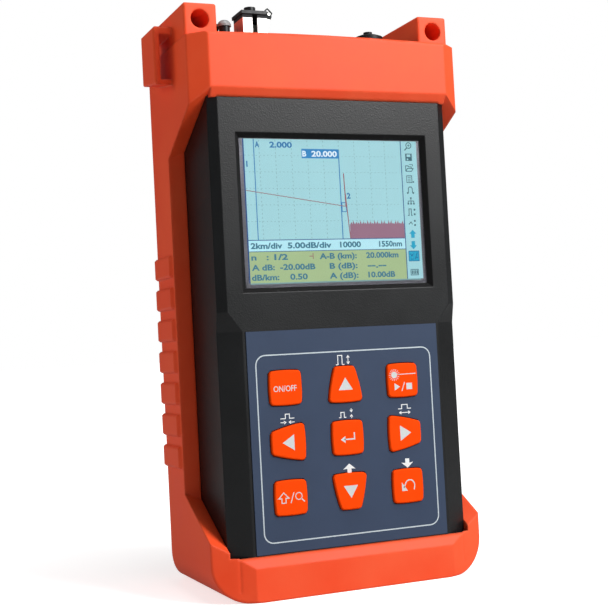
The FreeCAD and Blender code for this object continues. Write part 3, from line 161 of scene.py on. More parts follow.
class Finish:
    """A procedural surface: a shader with helpers that add the nodes it is made from."""

    def __init__(self, name):
        self.material = bpy.data.materials.new(name)
        self.material.use_nodes = True
        self.tree = self.material.node_tree
        self.shader = self.tree.nodes["Principled BSDF"]
        self.where = self.tree.nodes.new("ShaderNodeTexCoord").outputs["Object"]

    def node(self, kind, inputs=None, **options):
        made = self.tree.nodes.new("ShaderNode" + kind)
        for name, value in options.items():
            setattr(made, name, value)
        for name, value in (inputs or {}).items():
            self.feed(made.inputs[name], value)
        return made

    def feed(self, socket, value):
        if isinstance(value, bpy.types.NodeSocket):
            self.tree.links.new(value, socket)
        elif socket.type == "RGBA" and len(value) == 3:
            socket.default_value = (*value, 1.0)
        else:
            socket.default_value = value

    def set(self, **inputs):
        for name, value in inputs.items():
            self.feed(self.shader.inputs[name.replace("_", " ")], value)
        return self

    def stretched(self, x, y, z):
        return self.node("Mapping", {"Vector": self.where, "Scale": (x, y, z)}).outputs["Vector"]

    def noise(self, scale, detail=3.0, rough=0.5, where=None):
        made = self.node("TexNoise", {"Vector": where or self.where, "Scale": scale, "Detail": detail,
                                      "Roughness": rough})
        return made.outputs["Fac"]

    def cells(self, scale):
        return self.node("TexVoronoi", {"Vector": self.where, "Scale": scale}).outputs["Distance"]

    def spread(self, value, low, high, start=0.3, end=0.7):
        made = self.node("MapRange", {"Value": value, "From Min": start, "From Max": end,
                                      "To Min": low, "To Max": high})
        return made.outputs["Result"]

    def between(self, share, first, second):
        """The first number where the share is 0 and the second where it is 1."""
        return self.spread(share, first, second, 0.0, 1.0)

    def mix(self, share, first, second):
        made = self.node("Mix", data_type="RGBA")
        self.feed(made.inputs[0], share)
        self.feed(made.inputs[6], first)
        self.feed(made.inputs[7], second)
        return made.outputs[2]

    def soft_normal(self, radius):
        return self.node("Bevel", {"Radius": radius}, samples=6).outputs["Normal"]

    def edge(self, radius):
        """1 along the solid's edges and 0 on its faces."""
        normal = self.node("NewGeometry").outputs["Normal"]
        turn = self.node("VectorMath", {0: self.soft_normal(radius), 1: normal}, operation="DOT_PRODUCT")
        away = self.node("Math", {0: 1.0, 1: turn.outputs["Value"]}, operation="SUBTRACT")
        return self.spread(away.outputs["Value"], 0.0, 1.0, 0.02, 0.35)

    def within(self, axis, low, high):
        """1 where the place along an axis is between two values in metres, and 0 elsewhere."""
        place = self.node("SeparateXYZ", {0: self.where}).outputs[axis]
        above = self.node("Math", {0: place, 1: low}, operation="GREATER_THAN").outputs["Value"]
        below = self.node("Math", {0: place, 1: high}, operation="LESS_THAN").outputs["Value"]
        return self.both(above, below)

    def both(self, first, second):
        return self.node("Math", {0: first, 1: second}, operation="MULTIPLY").outputs["Value"]

    def bump(self, height, strength, depth, normal=None):
        inputs = {"Height": height, "Strength": strength, "Distance": depth}
        if normal is not None:
            inputs["Normal"] = normal
        return self.node("Bump", inputs).outputs["Normal"]


def moulded_rubber():
    rubber = bpy.context.scene.tester_rubber
    made = Finish("moulded_rubber")
    patches = made.noise(28.0, 4.0, 0.55)
    dust = made.noise(900.0, 2.0)
    worn = made.both(made.edge(rubber.edge), made.spread(made.noise(160.0, 4.0), 0.15, 0.75))
    base = made.mix(made.spread(patches, 0.0, 0.34), rubber.boot, rubber.boot_worn)
    base = made.mix(worn, base, rubber.boot_worn)
    grain = made.bump(dust, rubber.grain, 0.00012, made.soft_normal(rubber.edge))
    return made.set(Base_Color=base, Roughness=made.spread(patches, 0.46, 0.58), Normal=grain,
                    Specular_IOR_Level=0.32)


def key_silicone():
    rubber = bpy.context.scene.tester_rubber
    made = Finish("key_silicone")
    shade = tuple(v * 0.86 for v in rubber.key)
    base = made.mix(made.spread(made.noise(240.0, 3.0), 0.0, 0.35), rubber.key, shade)
    grain = made.bump(made.noise(1500.0, 2.0), 0.05, 0.00006, made.soft_normal(0.0005))
    return made.set(Base_Color=base, Roughness=made.spread(made.noise(120.0), 0.66, 0.76), Normal=grain,
                    Specular_IOR_Level=0.06)


def case_plastic():
    """Black plastic of the case; the sloped wall round the display window is matt and darker, a painted
    shade.
    """
    case = bpy.context.scene.tester_case
    low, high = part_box("display_lens")
    made = Finish("case_plastic")
    handled = made.noise(22.0, 5.0, 0.6)
    rim = made.both(made.edge(CASE_EDGE), made.spread(made.noise(300.0, 3.0), 0.2, 0.9))
    base = made.mix(made.spread(handled, 0.0, 0.5), case.plastic, case.plastic_worn)
    base = made.mix(rim, base, tuple(v * 2.2 for v in case.plastic_worn))
    # Painted shade: the sloped wall inside the display window, from the case face back to the lens, is
    # darkened to the rim colour and made matt.
    reach = 0.0018
    window = made.both(made.within("X", low.x - reach, high.x + reach),
                       made.within("Z", low.z - reach, high.z + reach))
    behind_face, behind_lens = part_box("front_shell")[0].y + 0.00005, high.y + 0.0002
    window_wall_painted_dark = made.both(window, made.within("Y", behind_face, behind_lens))
    base = made.mix(window_wall_painted_dark, base, case.rim)
    rough = made.between(window_wall_painted_dark, made.spread(handled, 0.34, 0.46), 0.9)
    grain = made.bump(made.cells(1900.0), 0.35, 0.00009, made.soft_normal(CASE_EDGE))
    return made.set(Base_Color=base, Roughness=rough, Normal=grain, Specular_IOR_Level=0.35)


def port_plastic(name, first, second, rough):
    made = Finish(name)
    base = made.mix(made.spread(made.noise(350.0, 3.0), 0.0, 1.0), linear(first), linear(second))
    grain = made.bump(made.noise(2400.0, 2.0), 0.12, 0.00005, made.soft_normal(0.00025))
    return made.set(Base_Color=base, Roughness=made.spread(made.noise(420.0), rough - 0.08, rough + 0.08),
                    Normal=grain, Specular_IOR_Level=0.3)


def printed_film():
    case = bpy.context.scene.tester_case
    made = Finish("printed_film")
    deep = tuple(v * 0.88 for v in case.overlay)
    base = made.mix(made.spread(made.noise(60.0, 4.0), 0.0, 0.8), case.overlay, deep)
    grain = made.bump(made.noise(3600.0, 1.0), 0.2, 0.00004)
    return made.set(Base_Color=base, Roughness=made.spread(made.noise(45.0, 4.0), 0.4, 0.5), Normal=grain,
                    Specular_IOR_Level=0.25)


def print_ink(name, shade):
    made = Finish(name)
    thin = tuple(v * 0.86 for v in shade)
    base = made.mix(made.spread(made.noise(1800.0, 3.0), 0.0, 0.5), shade, thin)
    return made.set(Base_Color=base, Roughness=made.spread(made.noise(600.0), 0.42, 0.55))


def rolled_steel(name, first, second):
    made = Finish(name)
    drawn = made.stretched(300.0, 300.0, 9000.0)
    lines = made.noise(1.0, 4.0, 0.6, drawn)
    base = made.mix(made.spread(lines, 0.0, 1.0), linear(first), linear(second))
    return made.set(Base_Color=base, Metallic=1.0, Roughness=made.spread(lines, 0.3, 0.46),
                    Normal=made.bump(lines, 0.06, 0.00004))


def nickel_plate():
    made = Finish("nickel_plate")
    drawn = made.stretched(2600.0, 2600.0, 160.0)
    lines = made.noise(1.0, 3.0, 0.5, drawn)
    base = made.mix(made.spread(made.noise(500.0), 0.0, 1.0), linear("cfcabf"), linear("e0dcd4"))
    return made.set(Base_Color=base, Metallic=1.0, Roughness=made.spread(lines, 0.08, 0.2),
                    Normal=made.bump(lines, 0.03, 0.00003, made.soft_normal(0.00015)))


def port_sleeve():
    """Bright plate with a painted dark, matt shade round the mouth under the lid, and a painted orange
    reflection of the boot on the side away from the hinge.
    """
    low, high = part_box("sc_sleeve")
    made = Finish("port_sleeve")
    base = made.mix(made.spread(made.noise(500.0), 0.0, 1.0), linear("d8d6d0"), linear("ecebe6"))
    # Painted reflection: the side away from the hinge is tinted orange and made less metallic, as though it
    # reflected the boot's rubber.
    painted_boot_reflection = made.both(made.within("X", low.x - 0.001, low.x + 0.0001),
                      made.within("Z", low.z + 0.0016, high.z))
    base = made.mix(painted_boot_reflection, base, linear("ff5f3a"))
    # Painted shade: a dark, matt strip on the sleeve just under the lid stands for the lid's shadow and its
    # dark reflection.
    painted_lid_shade = made.within("Z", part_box("sc_lid")[0].z - 0.0009, high.z + 0.001)
    base = made.mix(painted_lid_shade, base, linear("34383a"))
    bright = made.both(made.between(painted_boot_reflection, 0.35, 0.0), made.between(painted_lid_shade, 1.0, 0.0))
    lines = made.noise(1.0, 3.0, 0.5, made.stretched(2600.0, 2600.0, 160.0))
    dull = made.node("Math", {0: made.spread(lines, 0.24, 0.36), 1: painted_lid_shade}, operation="MAXIMUM")
    return made.set(Base_Color=base, Metallic=bright, Roughness=dull.outputs["Value"],
                    Normal=made.soft_normal(0.00015))


def turned_steel():
    made = Finish("turned_steel")
    rings = made.noise(2200.0, 2.0)
    base = made.mix(made.spread(rings, 0.0, 1.0), linear("8f8f8c"), linear("b5b4b0"))
    return made.set(Base_Color=base, Metallic=1.0, Roughness=made.spread(rings, 0.22, 0.38),
                    Normal=made.bump(rings, 0.05, 0.00003))


def polished_ceramic():
    made = Finish("polished_ceramic")
    base = made.mix(made.spread(made.noise(900.0), 0.0, 1.0), linear("efece4"), linear("e2ddd0"))
    return made.set(Base_Color=base, Roughness=made.spread(made.noise(1200.0), 0.12, 0.2))


def white_moulding():
    made = Finish("white_moulding")
    base = made.mix(made.spread(made.noise(90.0, 4.0), 0.0, 1.0), linear("e8e6de"), linear("d8d5ca"))
    return made.set(Base_Color=base, Roughness=made.spread(made.noise(300.0), 0.45, 0.6),
                    Normal=made.bump(made.noise(1600.0), 0.1, 0.00006))


def circuit_board():
    made = Finish("circuit_board")
    tracks = made.node("TexBrick", {"Vector": made.stretched(260.0, 1.0, 260.0), "Scale": 1.0,
                                    "Mortar Size": 0.06, "Color1": linear("0c4a22"),
                                    "Color2": linear("0f5628"), "Mortar": linear("1c7a3c")})
    return made.set(Base_Color=tracks.outputs["Color"], Roughness=made.spread(made.noise(400.0), 0.3, 0.45),
                    Normal=made.bump(tracks.outputs["Fac"], 0.2, 0.00005))


def milled_can():
    made = Finish("milled_can")
    lines = made.noise(1.0, 3.0, 0.5, made.stretched(60.0, 2000.0, 2000.0))
    base = made.mix(made.spread(lines, 0.0, 1.0), linear("a9abad"), linear("c6c8c9"))
    return made.set(Base_Color=base, Metallic=1.0, Roughness=made.spread(lines, 0.32, 0.45),
                    Normal=made.bump(lines, 0.06, 0.00004))


def shrink_wrap():
    made = Finish("shrink_wrap")
    creases = made.noise(1.0, 4.0, 0.6, made.stretched(300.0, 300.0, 60.0))
    base = made.mix(made.spread(creases, 0.0, 1.0), linear("1c4f96"), linear("2a63ad"))
    return made.set(Base_Color=base, Roughness=made.spread(creases, 0.22, 0.36),
                    Normal=made.bump(creases, 0.3, 0.0003))


def soft_seal():
    made = Finish("soft_seal")
    base = made.mix(made.spread(made.noise(500.0), 0.0, 1.0), linear("2a2a2a"), linear("383838"))
    return made.set(Base_Color=base, Roughness=made.spread(made.noise(800.0), 0.6, 0.75),
                    Normal=made.bump(made.noise(1800.0), 0.15, 0.00006))


def clear_window():
    made = Finish("clear_window")
    haze = made.noise(70.0, 4.0)
    return made.set(Base_Color=(0.97, 0.99, 1.0), Transmission_Weight=1.0, IOR=1.45,
                    Roughness=made.spread(haze, 0.0, 0.03))


def lit_layer(name, shade, glow, grid=True):
    """A colour of the display's picture, lit from behind through a grid of pixels."""
    screen = bpy.context.scene.tester_screen
    made = Finish(name)
    pitch = screen.wide / 320.0
    wave = made.node("TexWave", {"Vector": made.where, "Scale": 0.314 / pitch, "Distortion": 0.0},
                     bands_direction="X", wave_type="BANDS")
    dim = tuple(v * 0.9 for v in shade)
    cloud = made.mix(made.spread(made.noise(35.0, 3.0), 0.0, 0.5), shade, dim)
    pixels = made.mix(made.spread(wave.outputs["Fac"], 0.0, 0.35, 0.2, 0.8), cloud, dim) if grid else cloud
    return made.set(Base_Color=made.mix(0.85, pixels, (0.0, 0.0, 0.0)), Emission_Color=pixels,
                    Emission_Strength=glow, Roughness=made.spread(made.noise(300.0), 0.3, 0.4),
                    Specular_IOR_Level=0.2)


def circle(x, z, radius, count):
    """Corner points round a centre."""
    return [(x + radius * math.cos(math.tau * n / count), z + radius * math.sin(math.tau * n / count))
            for n in range(count)]


def dress(node, material):
    """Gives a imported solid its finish."""
    solid = NODES[node]
    solid.data.materials.clear()
    solid.data.materials.append(material)


class Sheet:
    """Flat shapes at one depth of the front, in millimetres across and up, joined into one thin mesh."""

    def __init__(self, depth, lift):
        self.y = (depth - lift) * MM
        self.corners = []
        self.faces = []

    def polygon(self, points):
        first = len(self.corners)
        self.corners += [(x * MM, self.y, z * MM) for x, z in points]
        flat = [Vector((x, z, 0.0)) for x, z in points]
        for face in tessellate_polygon([flat]):
            self.faces.append([first + at for at in face])

    def rectangle(self, x0, z0, x1, z1):
        self.polygon([(x0, z0), (x1, z0), (x1, z1), (x0, z1)])

    def stroke(self, points, width, closed=False):
        """A line of even width with mitred corners."""
        spots = [Vector(point) for point in points]
        count = len(spots)
        left, right = [], []
        for at in range(count):
            before = spots[at] - spots[at - 1] if at or closed else spots[1] - spots[0]
            after = spots[(at + 1) % count] - spots[at] if at < count - 1 or closed else before
            before.normalize()
            after.normalize()
            across = Vector((-before.y - after.y, before.x + after.x))
            across.normalize()
            reach = 0.5 * width / max(across.dot(Vector((-before.y, before.x))), 0.35)
            left.append(spots[at] + across * reach)
            right.append(spots[at] - across * reach)
        last = count if closed else count - 1
        for at in range(last):
            after = (at + 1) % count
            self.polygon([left[at], right[at], right[after], left[after]])

    def letters(self, text, x0, x1, z, size, bold):
        """Text as flat shapes from x0 to x1; size is the height of a capital, bold thickens the strokes."""
        curve = bpy.data.curves.new("letters", "FONT")
        curve.body = text
        curve.size = size / 0.7
        curve.resolution_u = 3
        curve.offset = bold
        source = bpy.data.objects.new("letters", curve)
        bpy.context.scene.collection.objects.link(source)
        shape = bpy.data.meshes.new_from_object(source)
        places = [corner.co.x for corner in shape.vertices]
        start, scale = min(places), (x1 - x0) / (max(places) - min(places))
        first = len(self.corners)
        for corner in shape.vertices:
            across = x0 + (corner.co.x - start) * scale
            self.corners.append((across * MM, self.y, (z + corner.co.y) * MM))
        for face in shape.polygons:
            self.faces.append([first + at for at in face.vertices])
        bpy.data.objects.remove(source)
        bpy.data.curves.remove(curve)
        bpy.data.meshes.remove(shape)

    def piece(self, name, material, body, slot):
        shape = bpy.data.meshes.new(name)
        shape.from_pydata(self.corners, [], self.faces)
        shape.materials.append(material)
        facing = bmesh.new()
        facing.from_mesh(shape)
        wrong = [face for face in facing.faces if face.normal.y > 0]
        bmesh.ops.reverse_faces(facing, faces=wrong)
        facing.to_mesh(shape)
        facing.free()
        return put(name, shape, body)


def put(name, shape, body):
    made = bpy.data.objects.new(name, shape)
    bpy.context.scene.collection.objects.link(made)
    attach(made, body)
    return made


def rounded(x0, z0, x1, z1, radius):
    """Corner points of a rounded rectangle."""
    points = []
    steps = 6
    for x, z, start in ((x1 - radius, z1 - radius, 0), (x0 + radius, z1 - radius, 90),
                        (x0 + radius, z0 + radius, 180), (x1 - radius, z0 + radius, 270)):
        for step in range(steps + 1):
            angle = math.radians(start + 90.0 * step / steps)
            points.append((x + radius * math.cos(angle), z + radius * math.sin(angle)))
    return points


def front_of(node):
    """Depth of a node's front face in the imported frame, in millimetres."""
    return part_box(node)[0].y / MM


def middle(node):
    low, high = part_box(node)
    centre = (low + high) / 2
    return centre.x / MM, centre.z / MM


class TESTER_OT_stage(bpy.types.Operator):
    """Floor, soft lights and the camera at the photograph's angle"""
    bl_idname = "tester.stage"
    bl_label = "Stage"

    def execute(self, context):
        view = context.scene.tester_view
        ahead = Vector(view.ahead).normalized()
        right = (Vector(view.right) - ahead * Vector(view.right).dot(ahead)).normalized()
        up = right.cross(ahead)
        data = bpy.data.cameras.new("camera")
        data.sensor_width = 36.0
        data.lens = view.lens
        data.clip_start = 0.01
        camera = bpy.data.objects.new("camera", data)
        turn = Matrix((right, up, -ahead)).transposed().to_4x4()
        camera.matrix_world = Matrix.Translation(view.place) @ turn
        context.scene.collection.objects.link(camera)
        context.scene.camera = camera
        context.scene.view_settings.view_transform = "Standard"
        self.floor(context, view)
        self.lights(context, view)
        return {"FINISHED"}

    def floor(self, context, view):
        """Floor that glows towards its far end, mostly for the camera, so that it stays white there."""
        made = Finish("pale_floor")
        shade = tuple(v * 0.97 for v in view.floor)
        base = made.mix(made.spread(made.noise(3.0, 2.0), 0.0, 1.0), tuple(view.floor), shade)
        away = made.node("VectorMath", {0: made.where}, operation="LENGTH").outputs["Value"]
        seen = made.node("LightPath").outputs["Is Camera Ray"]
        share = made.between(seen, 0.2, 1.0)
        # The glow rises with the distance from the object, and rays other than the camera's get a share.
        glow = made.both(made.spread(away, 0.62, 1.1, 0.25, 0.8), share)
        base = made.mix(seen, tuple(v * view.bounce for v in view.floor), base)
        made.set(Base_Color=base, Roughness=0.8, Emission_Color=(1.0, 1.0, 1.0), Emission_Strength=glow)
        shape = bpy.data.meshes.new("floor")
        build = bmesh.new()
        bmesh.ops.create_circle(build, cap_ends=True, segments=96, radius=FLOOR_RADIUS)
        build.to_mesh(shape)
        build.free()
        shape.materials.append(made.material)
        floor = bpy.data.objects.new("floor", shape)
        context.scene.collection.objects.link(floor)

    def lights(self, context, view):
        world = bpy.data.worlds.new("studio")
        world.use_nodes = True
        context.scene.world = world
        backdrop = world.node_tree.nodes["Background"]
        backdrop.inputs["Color"].default_value = (1.0, 1.0, 1.0, 1.0)
        # The camera sees white all round, and surfaces get the fill light.
        seen = world.node_tree.nodes.new("ShaderNodeLightPath")
        level = world.node_tree.nodes.new("ShaderNodeMapRange")
        level.inputs["To Min"].default_value = view.fill
        level.inputs["To Max"].default_value = 1.0
        world.node_tree.links.new(seen.outputs["Is Camera Ray"], level.inputs["Value"])
        world.node_tree.links.new(level.outputs["Result"], backdrop.inputs["Strength"])
        for lamp in LAMPS:
            self.lamp(context, *lamp)

    def lamp(self, context, name, place, wide, power, mirrored):
        data = bpy.data.lights.new(name, "AREA")
        data.shape = "DISK"
        data.size = wide
        data.energy = power
        lamp = bpy.data.objects.new(name, data)
        aim = LAMP_TARGET - Vector(place)
        lamp.location = place
        lamp.rotation_euler = aim.to_track_quat("-Z", "Y").to_euler()
        lamp.visible_glossy = mirrored
        context.scene.collection.objects.link(lamp)


class TESTER_OT_boot(bpy.types.Operator):
    """Orange rubber boot"""
    bl_idname = "tester.boot"
    bl_label = "Boot"

    def execute(self, context):
        dress("boot", moulded_rubber().material)
        return {"FINISHED"}


class TESTER_OT_case(bpy.types.Operator):
    """Black case, its seal, cover and screws"""
    bl_idname = "tester.case"
    bl_label = "Case"

    def execute(self, context):
        plastic = case_plastic().material
        for node in ("front_shell", "rear_shell", "battery_cover", "connector_panel", "buzzer"):
            dress(node, plastic)
        dress("shell_seal", soft_seal().material)
        steel = turned_steel().material
        for node in NODES:
            if "_screw_" in node or node in ("lid_pin", "vfl_pin"):
                dress(node, steel)
        return {"FINISHED"}


class TESTER_OT_inside(bpy.types.Operator):
    """Boards, optical module, battery and the layers behind the display and the keys"""
    bl_idname = "tester.inside"
    bl_label = "Inside"

    def execute(self, context):
        board = circuit_board().material
        dress("keypad_board", board)
        dress("main_board", board)
        dress("optical_module", milled_can().material)
        dress("battery_pack", shrink_wrap().material)
        white = white_moulding().material
        dress("fibre_tray", white)
        dress("display_light", white)
        dress("keypad_mat", soft_seal().material)
        return {"FINISHED"}


class TESTER_OT_display(bpy.types.Operator):
    """Display frame, window and the lit picture with its trace and readings"""
    bl_idname = "tester.display"
    bl_label = "Display"

    def execute(self, context):
        screen = context.scene.tester_screen
        dress("display_frame", rolled_steel("display_steel", "77757f", "969299").material)
        dress("display_glass", lit_layer("display_back", screen.plot, screen.glow * 0.5, False).material)
        dress("display_lens", clear_window().material)
        self.wide = screen.wide / MM
        self.tall = screen.tall / MM
        self.left = -self.wide / 2 + screen.shift[0] / MM
        self.top = middle("display_frame")[1] + self.tall / 2 + screen.shift[1] / MM
        self.face = front_of("display_frame")
        self.backgrounds(screen)
        self.trace(screen)
        self.readings(screen)
        self.icons(screen)
        return {"FINISHED"}

    def sheet(self, lift):
        return Sheet(self.face, lift)

    def x(self, across):
        return self.left + across

    def z(self, down):
        return self.top - down

    def box(self, sheet, x0, down0, x1, down1):
        sheet.rectangle(self.x(x0), self.z(down1), self.x(x1), self.z(down0))

    def line(self, sheet, points, width):
        sheet.stroke([(self.x(x), self.z(down)) for x, down in points], width)

    def show(self, sheet, name, shade, glow):
        sheet.piece(name, lit_layer(name, shade, glow).material, "case", "panel_glass")

    def backgrounds(self, screen):
        plot = self.sheet(BACK)
        self.box(plot, 0.3, 0.0, COLUMN - 0.1, PLOT_END)
        self.box(plot, COLUMN + 0.1, 0.0, self.wide, self.tall)
        self.show(plot, "screen_plot", screen.plot, screen.glow)
        status = self.sheet(BACK)
        self.box(status, 0.3, PLOT_END, COLUMN - 0.1, STATUS_END)
        self.show(status, "screen_status", screen.status, screen.glow * 1.1)
        panel = self.sheet(BACK)
        self.box(panel, 0.3, STATUS_END, COLUMN - 0.1, self.tall)
        self.show(panel, "screen_panel", screen.panel, screen.glow * 0.95)
        grid = self.sheet(DOTS)
        pitch = 1.5
        for column in range(1, 10):
            across = 6.4 * column
            for dot in range(25):
                self.box(grid, across - 0.11, pitch * dot + 0.4, across + 0.11, pitch * dot + 1.0)
        for row in range(1, 6):
            down = 6.1 * row
            for dot in range(42):
                self.box(grid, pitch * dot + 0.5, down - 0.09, pitch * dot + 1.0, down + 0.09)
        shade = tuple(v * 0.64 for v in screen.plot)
        self.show(grid, "screen_grid", shade, screen.glow)

    def trace(self, screen):
        rules = self.sheet(RULES)
        self.line(rules, [(4.3, 0.1), (4.3, PLOT_END)], 0.34)
        self.line(rules, [(38.3, 3.6), (38.3, PLOT_END)], 0.38)
        self.line(rules, [(40.2, 23.7), (38.6, 23.7), (38.6, 27.1), (40.3, 27.1)], 0.28)
        self.line(rules, [(40.3, 23.7), (40.3, 27.1)], 0.24)
        self.show(rules, "screen_markers", screen.rule, screen.glow * 0.9)
        border = self.sheet(RULES)
        self.line(border, [(COLUMN, 0.0), (COLUMN, self.tall)], 0.34)
        self.line(border, [(0.2, 0.0), (0.2, self.tall)], 0.5)
        self.line(border, [(0.0, PLOT_END), (COLUMN, PLOT_END)], 0.28)
        self.line(border, [(0.0, STATUS_END), (COLUMN, STATUS_END)], 0.24)
        self.show(border, "screen_border", screen.border, screen.glow * 0.7)
        noise = self.sheet(RULES)
        foot, top, pitch = PLOT_END - 0.15, 31.9, 0.98
        self.box(noise, 41.5, top, COLUMN - 0.2, foot)
        for number in range(23):
            across = 41.6 + pitch * number
            spike = 0.35 + 1.15 * abs(math.sin(number * 7.3 + 0.5))
            lean = 0.5 + 0.3 * math.sin(number * 4.1)
            noise.polygon([(self.x(across), self.z(top)), (self.x(across + pitch), self.z(top)),
                           (self.x(across + pitch * lean), self.z(top - spike))])
        self.show(noise, "screen_noise", screen.floor, screen.glow * 0.85)
        line = self.sheet(LINES)
        run = [(0.5 + 0.79 * step, 19.0 + 6.0 * step / 50.0 + 0.1 * (step % 2)) for step in range(51)]
        self.line(line, run, 0.26)
        self.line(line, [(39.9, 12.6), (40.0, 17.0), (40.25, 25.2)], 0.42)
        self.line(line, [(40.2, 20.1), (41.0, 31.4), (41.5, foot)], 0.36)
        self.line(line, [(25.7, STATUS_END + 0.9), (25.7, STATUS_END + 3.1)], 0.3)
        self.line(line, [(24.2, STATUS_END + 2.0), (25.7, STATUS_END + 2.0)], 0.3)
        self.show(line, "screen_trace", screen.trace, screen.glow * 0.7)

    def write(self, sheet, down, *words):
        for word, x0, x1 in words:
            sheet.letters(word, self.x(x0), self.x(x1), self.z(down), LETTER_SIZE, LETTER_BOLD)

    def readings(self, screen):
        box = self.sheet(RULES)
        self.box(box, 23.2, 3.5, 38.1, 7.0)
        self.show(box, "screen_label", screen.label, screen.glow)
        pale = self.sheet(LETTERS)
        self.write(pale, 6.3, ("B", 23.5, 25.1), ("20.000", 27.2, 37.6))
        self.show(pale, "screen_label_text", (0.8, 0.93, 1.0), screen.glow)
        mark = self.sheet(LETTERS)
        self.write(mark, 3.1, ("A", 4.8, 6.5), ("2.000", 10.5, 19.5))
        self.write(mark, 10.3, ("1", 1.1, 1.6))
        self.write(mark, 22.1, ("2", 40.8, 42.3))
        self.show(mark, "screen_mark_text", screen.mark, screen.glow * 0.8)
        ink = self.sheet(LETTERS)
        self.write(ink, STATUS_END - 1.1, ("2km/div", 1.2, 13.6), ("5.00dB/div", 15.7, 33.4),
                   ("10000", 36.9, 45.6), ("1550nm", 53.2, 63.0))
        first = STATUS_END + 3.1
        self.write(ink, first, ("n   :", 1.2, 8.0), ("1/2", 10.2, 15.6),
                   ("A-B (km):", 28.3, 43.6), ("20.000km", 47.5, 61.2))
        self.write(ink, first + 3.75, ("A dB:", 1.2, 10.2), ("-20.00dB", 12.3, 26.4),
                   ("B (dB):", 32.2, 43.7), ("--.--", 47.9, 55.8))
        self.write(ink, first + 7.4, ("dB/km:", 1.0, 11.8), ("0.50", 16.1, 23.1),
                   ("A (dB):", 32.0, 43.9), ("10.00dB", 48.0, 59.4))
        self.show(ink, "screen_text", screen.ink, screen.glow * 0.95)

    def icons(self, screen):
        across = COLUMN + 3.3
        # Middles of the icons down the column. The last one stands apart.
        steps = [1.9 + 4.25 * number for number in range(11)] + [50.7]
        ink = self.sheet(RULES)

        def lines(step, width, *points):
            self.line(ink, [(across + x, steps[step] + down) for x, down in points], width)

        def blocks(step, half, *places):
            for x, down in places:
                self.box(ink, across + x - half, steps[step] + down - half, across + x + half,
                         steps[step] + down + half)

        ink.stroke(circle(self.x(across + 0.2), self.z(steps[0] - 0.3), 1.1, 16), 0.32, True)
        lines(0, 0.45, (-0.6, 0.6), (-1.6, 1.6))
        lines(0, 0.25, (-0.3, -0.3), (0.7, -0.3))
        lines(0, 0.25, (0.2, -0.8), (0.2, 0.2))
        self.box(ink, across - 1.4, steps[1] - 1.4, across - 0.8, steps[1] + 1.4)
        self.box(ink, across + 0.8, steps[1] - 1.4, across + 1.4, steps[1] + 1.4)
        self.box(ink, across - 0.8, steps[1] - 1.4, across + 0.8, steps[1] - 1.1)
        self.box(ink, across - 0.8, steps[1] - 0.1, across + 0.8, steps[1] + 0.5)
        self.box(ink, across - 0.8, steps[1] + 1.1, across + 0.8, steps[1] + 1.4)
        self.box(ink, across - 0.2, steps[1] + 0.5, across + 0.8, steps[1] + 1.1)
        lines(2, 0.3, (-1.5, 1.2), (-1.5, -0.9), (-0.4, -0.9), (-0.1, -0.5), (0.9, -0.5), (0.9, 0.0))
        lines(2, 0.3, (-1.5, 1.2), (-0.7, 0.1), (1.7, 0.1), (1.0, 1.2), (-1.5, 1.2))
        lines(2, 0.25, (0.1, -1.4), (1.5, -1.4), (1.5, -0.7))
        lines(3, 0.28, (-1.3, -1.3), (0.9, -1.3), (0.9, 1.3), (-1.3, 1.3), (-1.3, -1.3))
        for row in (-0.7, 0.0, 0.7):
            lines(3, 0.24, (-0.8, row), (0.4, row))
        blocks(3, 0.28, (1.5, 1.1))
        lines(4, 0.34, (-0.9, 1.0), (-0.8, -0.7), (-0.4, -1.2), (0.4, -1.2), (0.8, -0.7), (0.9, 1.0))
        blocks(4, 0.34, (-1.2, 1.1), (1.2, 1.1))
        blocks(5, 0.34, (0.0, -1.1), (-1.2, 1.0), (0.0, 1.0), (1.2, 1.0))
        lines(5, 0.26, (-1.2, 0.8), (-1.2, 0.0), (1.2, 0.0), (1.2, 0.8))
        lines(5, 0.26, (0.0, -0.8), (0.0, 0.8))
        lines(6, 0.32, (-1.6, 1.3), (-1.1, 1.3), (-1.1, -1.2), (-0.1, -1.2), (-0.1, 1.3), (0.4, 1.3))
        blocks(6, 0.36, (1.3, -0.9), (1.3, 0.9))
        lines(7, 0.32, (-1.4, 0.5), (-0.9, 0.0), (-0.5, -0.4), (0.1, 0.5))
        blocks(7, 0.36, (1.2, -0.8), (1.2, 0.8))
        lines(11, 0.28, (-1.7, -1.1), (1.5, -1.1), (1.5, 1.0), (-1.7, 1.0), (-1.7, -1.1))
        for bar in range(4):
            start = across - 1.35 + 0.72 * bar
            self.box(ink, start, steps[11] - 0.75, start + 0.5, steps[11] + 0.65)
        self.show(ink, "screen_icons", screen.icon, screen.glow * 0.6)
        arrows = self.sheet(RULES)
        outline = ((0.0, 1.65), (-1.5, 0.1), (-0.75, 0.1), (-0.75, -1.5), (0.75, -1.5), (0.75, 0.1),
                   (1.5, 0.1))
        for down, up in ((steps[8], 1), (steps[9], -1)):
            arrows.polygon([(self.x(across + x), self.z(down - up * rise)) for x, rise in outline])
        self.box(arrows, across - 2.2, steps[10] - 1.9, across + 2.2, steps[10] + 1.9)
        self.show(arrows, "screen_arrows", screen.arrow, screen.glow)
        marked = self.sheet(LINES)
        for points in (((-2.2, -1.9), (2.2, -1.9), (2.2, 1.9), (-2.2, 1.9), (-2.2, -1.9)),
                       ((0.4, 1.3), (1.5, -1.3)), ((-1.5, -0.9), (-0.9, 0.0), (-0.3, -0.9)),
                       ((-1.5, 1.2), (-0.3, 1.2)), ((0.9, 0.6), (1.7, 0.6))):
            self.line(marked, [(across + x, steps[10] + down) for x, down in points], 0.22)
        self.show(marked, "screen_marked_icon", screen.border, screen.glow * 0.7)


